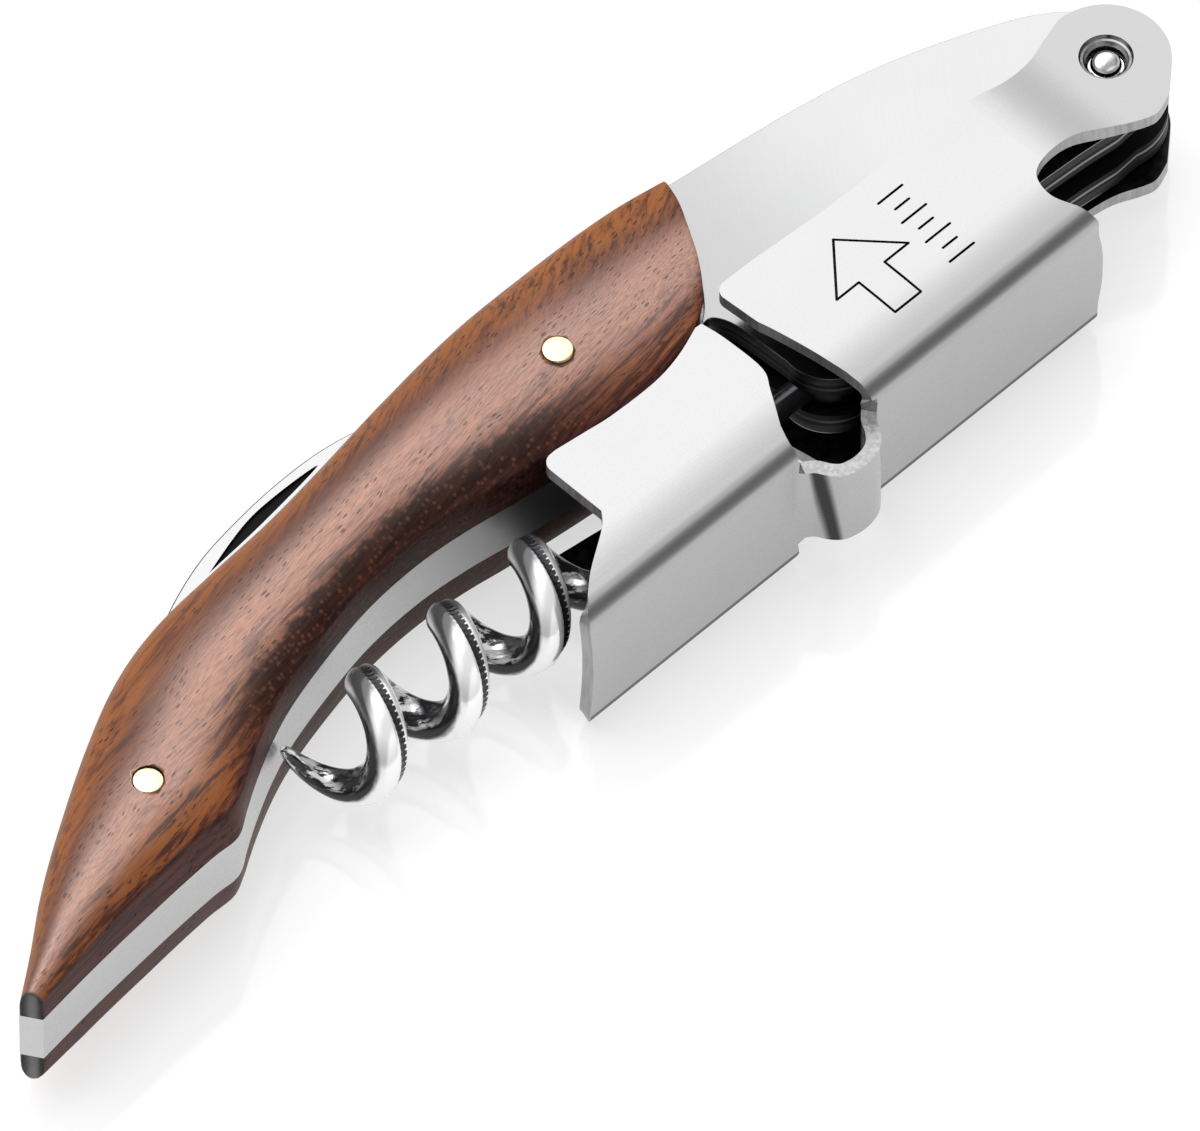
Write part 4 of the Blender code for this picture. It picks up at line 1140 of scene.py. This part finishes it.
def lever(satin, dark, cut_edge, edge, recess_metal, engraving):
    """The lever: the folded sheet, thickened, with a recess for the rivet's head in each ear."""
    # The inner faces, by material offset 1, and the ear hole take the dark steel as painted shade inside the
    # lever.
    obj = coated(folded_sheet(), satin, dark, cut_edge)
    apply_all(modify(obj, "SOLIDIFY", thickness=SHEET * MM, offset=0, use_even_offset=True,
                     material_offset=1, material_offset_rim=2))
    drill(obj, LEVER_PIVOT, EAR_HOLE_RADIUS, dark)
    # The recesses take the recess steel, painted shade.
    recess = [(radius, EAR_Z + SHEET / 2 + height) for radius, height in EAR_RECESS]
    for profile in (recess, mirrored(recess)):
        boolean(obj, coated(turned("recess", LEVER_PIVOT, profile), recess_metal))
    # The bevelled rims take the edge steel, a painted dark outline.
    coated(obj, edge)
    bevel(obj, RIM, 50, len(obj.data.materials) - 1)
    merged(apply_all(obj, 30))
    engrave(obj, engraving)
    flatten(merged(obj), 30)
    finish(obj, "lever", "lever")


# ---------------- stage

CAMERA_AZIMUTH, CAMERA_ELEVATION = -44.7, 53.6
CAMERA_AIM = (-59.6, -4.6)
CAMERA_DISTANCE, CAMERA_LENS, CAMERA_SENSOR = 3.07, 1200, 36
KEY_AZIMUTH, KEY_ELEVATION = 195, 70
KEY_AIM = (-60.0, 0.0)
KEY_DISTANCE, KEY_SIZE, KEY_RADIANCE = 0.7, 0.5, 2.0
FLOOR_HALF, FLOOR_GLOW = 3.0, 0.64
FLOOR_HEIGHT = -0.00002


def aimed(name, data, aim, azimuth, elevation, distance):
    """A camera or light so far from the point that it faces; azimuth 0 is in front, at -Y."""
    a, e = math.radians(azimuth), math.radians(elevation)
    direction = Vector((math.sin(a) * math.cos(e), -math.cos(a) * math.cos(e), math.sin(e)))
    obj = linked(name, data)
    obj.location = place(*aim) + direction * distance
    obj.rotation_euler = direction.to_track_quat("Z", "Y").to_euler()
    return obj


def camera():
    data = bpy.data.cameras.new("camera")
    data.lens = CAMERA_LENS
    data.sensor_width = CAMERA_SENSOR
    data.clip_start = 0.01
    bpy.context.scene.camera = aimed("camera", data, CAMERA_AIM, CAMERA_AZIMUTH, CAMERA_ELEVATION,
                                     CAMERA_DISTANCE)


def key_light():
    """A square softbox, given by how bright its surface is."""
    data = bpy.data.lights.new("key_softbox", "AREA")
    data.shape = "SQUARE"
    data.size = KEY_SIZE
    data.energy = KEY_RADIANCE * math.pi * KEY_SIZE * KEY_SIZE
    aimed("key_softbox", data, KEY_AIM, KEY_AZIMUTH, KEY_ELEVATION, KEY_DISTANCE)


def floor():
    look = Look("white_gloss_floor", 0.09, ior=1.5)
    cloud = look.noise(look.position(), 2.0, scale=0.01)
    look.give({"Base Color": look.mix(gray(0.33), gray(0.35), cloud), "Emission Color": (1, 1, 1, 1),
               "Emission Strength": FLOOR_GLOW})
    bm = bmesh.new()
    ends = ((-1, -1), (1, -1), (1, 1), (-1, 1))
    bm.faces.new([bm.verts.new((x * FLOOR_HALF, y * FLOOR_HALF, FLOOR_HEIGHT)) for x, y in ends])
    coated(new_object("floor", bm), look.material)


def world():
    """A pale room, brightest above and behind, dark at the sides near the horizon, softly lit in front."""
    made = bpy.data.worlds.new("studio")
    made.use_nodes = True
    bpy.context.scene.world = made
    room = Nodes(made.node_tree)
    background = made.node_tree.nodes["Background"]
    _, back, up = room.split(room.node("TexCoord", {}, "Generated"))
    front = room.band(back, -0.6, -0.8, 0.0, 0.6)
    horizon = room.band(back, -0.1, 0.5, 0.08, 1.1) + front
    overhead = room.band(back, -0.35, 0.5, 0.55, 1.78) + front
    room.link(room.band(up, 0.03, 0.75, horizon, overhead), background.inputs["Strength"])
    room.link((1, 1, 1, 1), background.inputs["Color"])


# ---------------- assembly

def carried_over(satin, spring):
    """Gives the CAD nodes that no piece stands for their steel."""
    for name in ("knife_spring", "near_washer", "far_washer"):
        recoated(frame["nodes"][name], spring)
    for name in ("head_bush", "worm_pin", "tail_rivet", "spine_rivet", "spring_rivet",
                 "rear_bolster_rivet", "front_bolster_rivet"):
        recoated(frame["nodes"][name], satin)


def build():
    satin = steel("satin_steel", (0.52, 0.52, 0.525), 0.26)
    # The strip, folded and polished steels carry painted shade from their shade functions.
    strip = steel("strip_steel", (0.55, 0.55, 0.555), 0.26, shade=strip_shade, shaded=(0.02, 0.02, 0.021))
    folded_steel = steel("folded_steel", (0.56, 0.56, 0.565), 0.25, relief=0.0002, shade=lever_shade)
    polished = steel("polished_steel", (0.51, 0.51, 0.515), 0.2, direction=52, shade=bolster_shade)
    spring = steel("spring_steel", (0.5, 0.5, 0.52), 0.35)
    # Edge steel is a painted dark outline on bevelled rims; recess and inside steels are painted shade in
    # the ear recesses, inside the lever and on the worm's eye; engraving steel is near-black in the grooves
    # and painted shade in the nail nick.
    edge = dark_steel("edge_steel", gray(0.07))
    cut_edge = cut_steel("cut_edge_steel")
    recess_metal = dark_steel("recess_steel", gray(0.3), 0.2)
    inside = dark_steel("lever_inside_steel", (0.03, 0.03, 0.033))
    engraving = dark_steel("engraving_steel", gray(0.02), 0.6)
    pin_brass = brass("pin_brass")
    wood = rosewood("rosewood")

    liners(strip)
    spacers(strip)
    bolsters(polished, edge)
    for word, side in SIDES:
        scale(word + "_scale", side, wood)
    brass_pin("knife_pivot_pin", KNIFE_PIVOT, pin_brass)
    brass_pin("handle_pin", HANDLE_PIN, pin_brass)
    lever_rivet(chrome("rivet_chrome"))
    knife(satin, edge, engraving)
    worm(wire_chrome("worm_chrome"), inside)
    lever(folded_steel, inside, cut_edge, edge, recess_metal, engraving)
    carried_over(satin, spring)


def studio():
    floor()
    world()
    key_light()
    camera()
    bpy.context.scene.view_settings.view_transform = "Standard"


build()
studio()


def corners(box):
    return [[float(x) for x in corner] for corner in box]
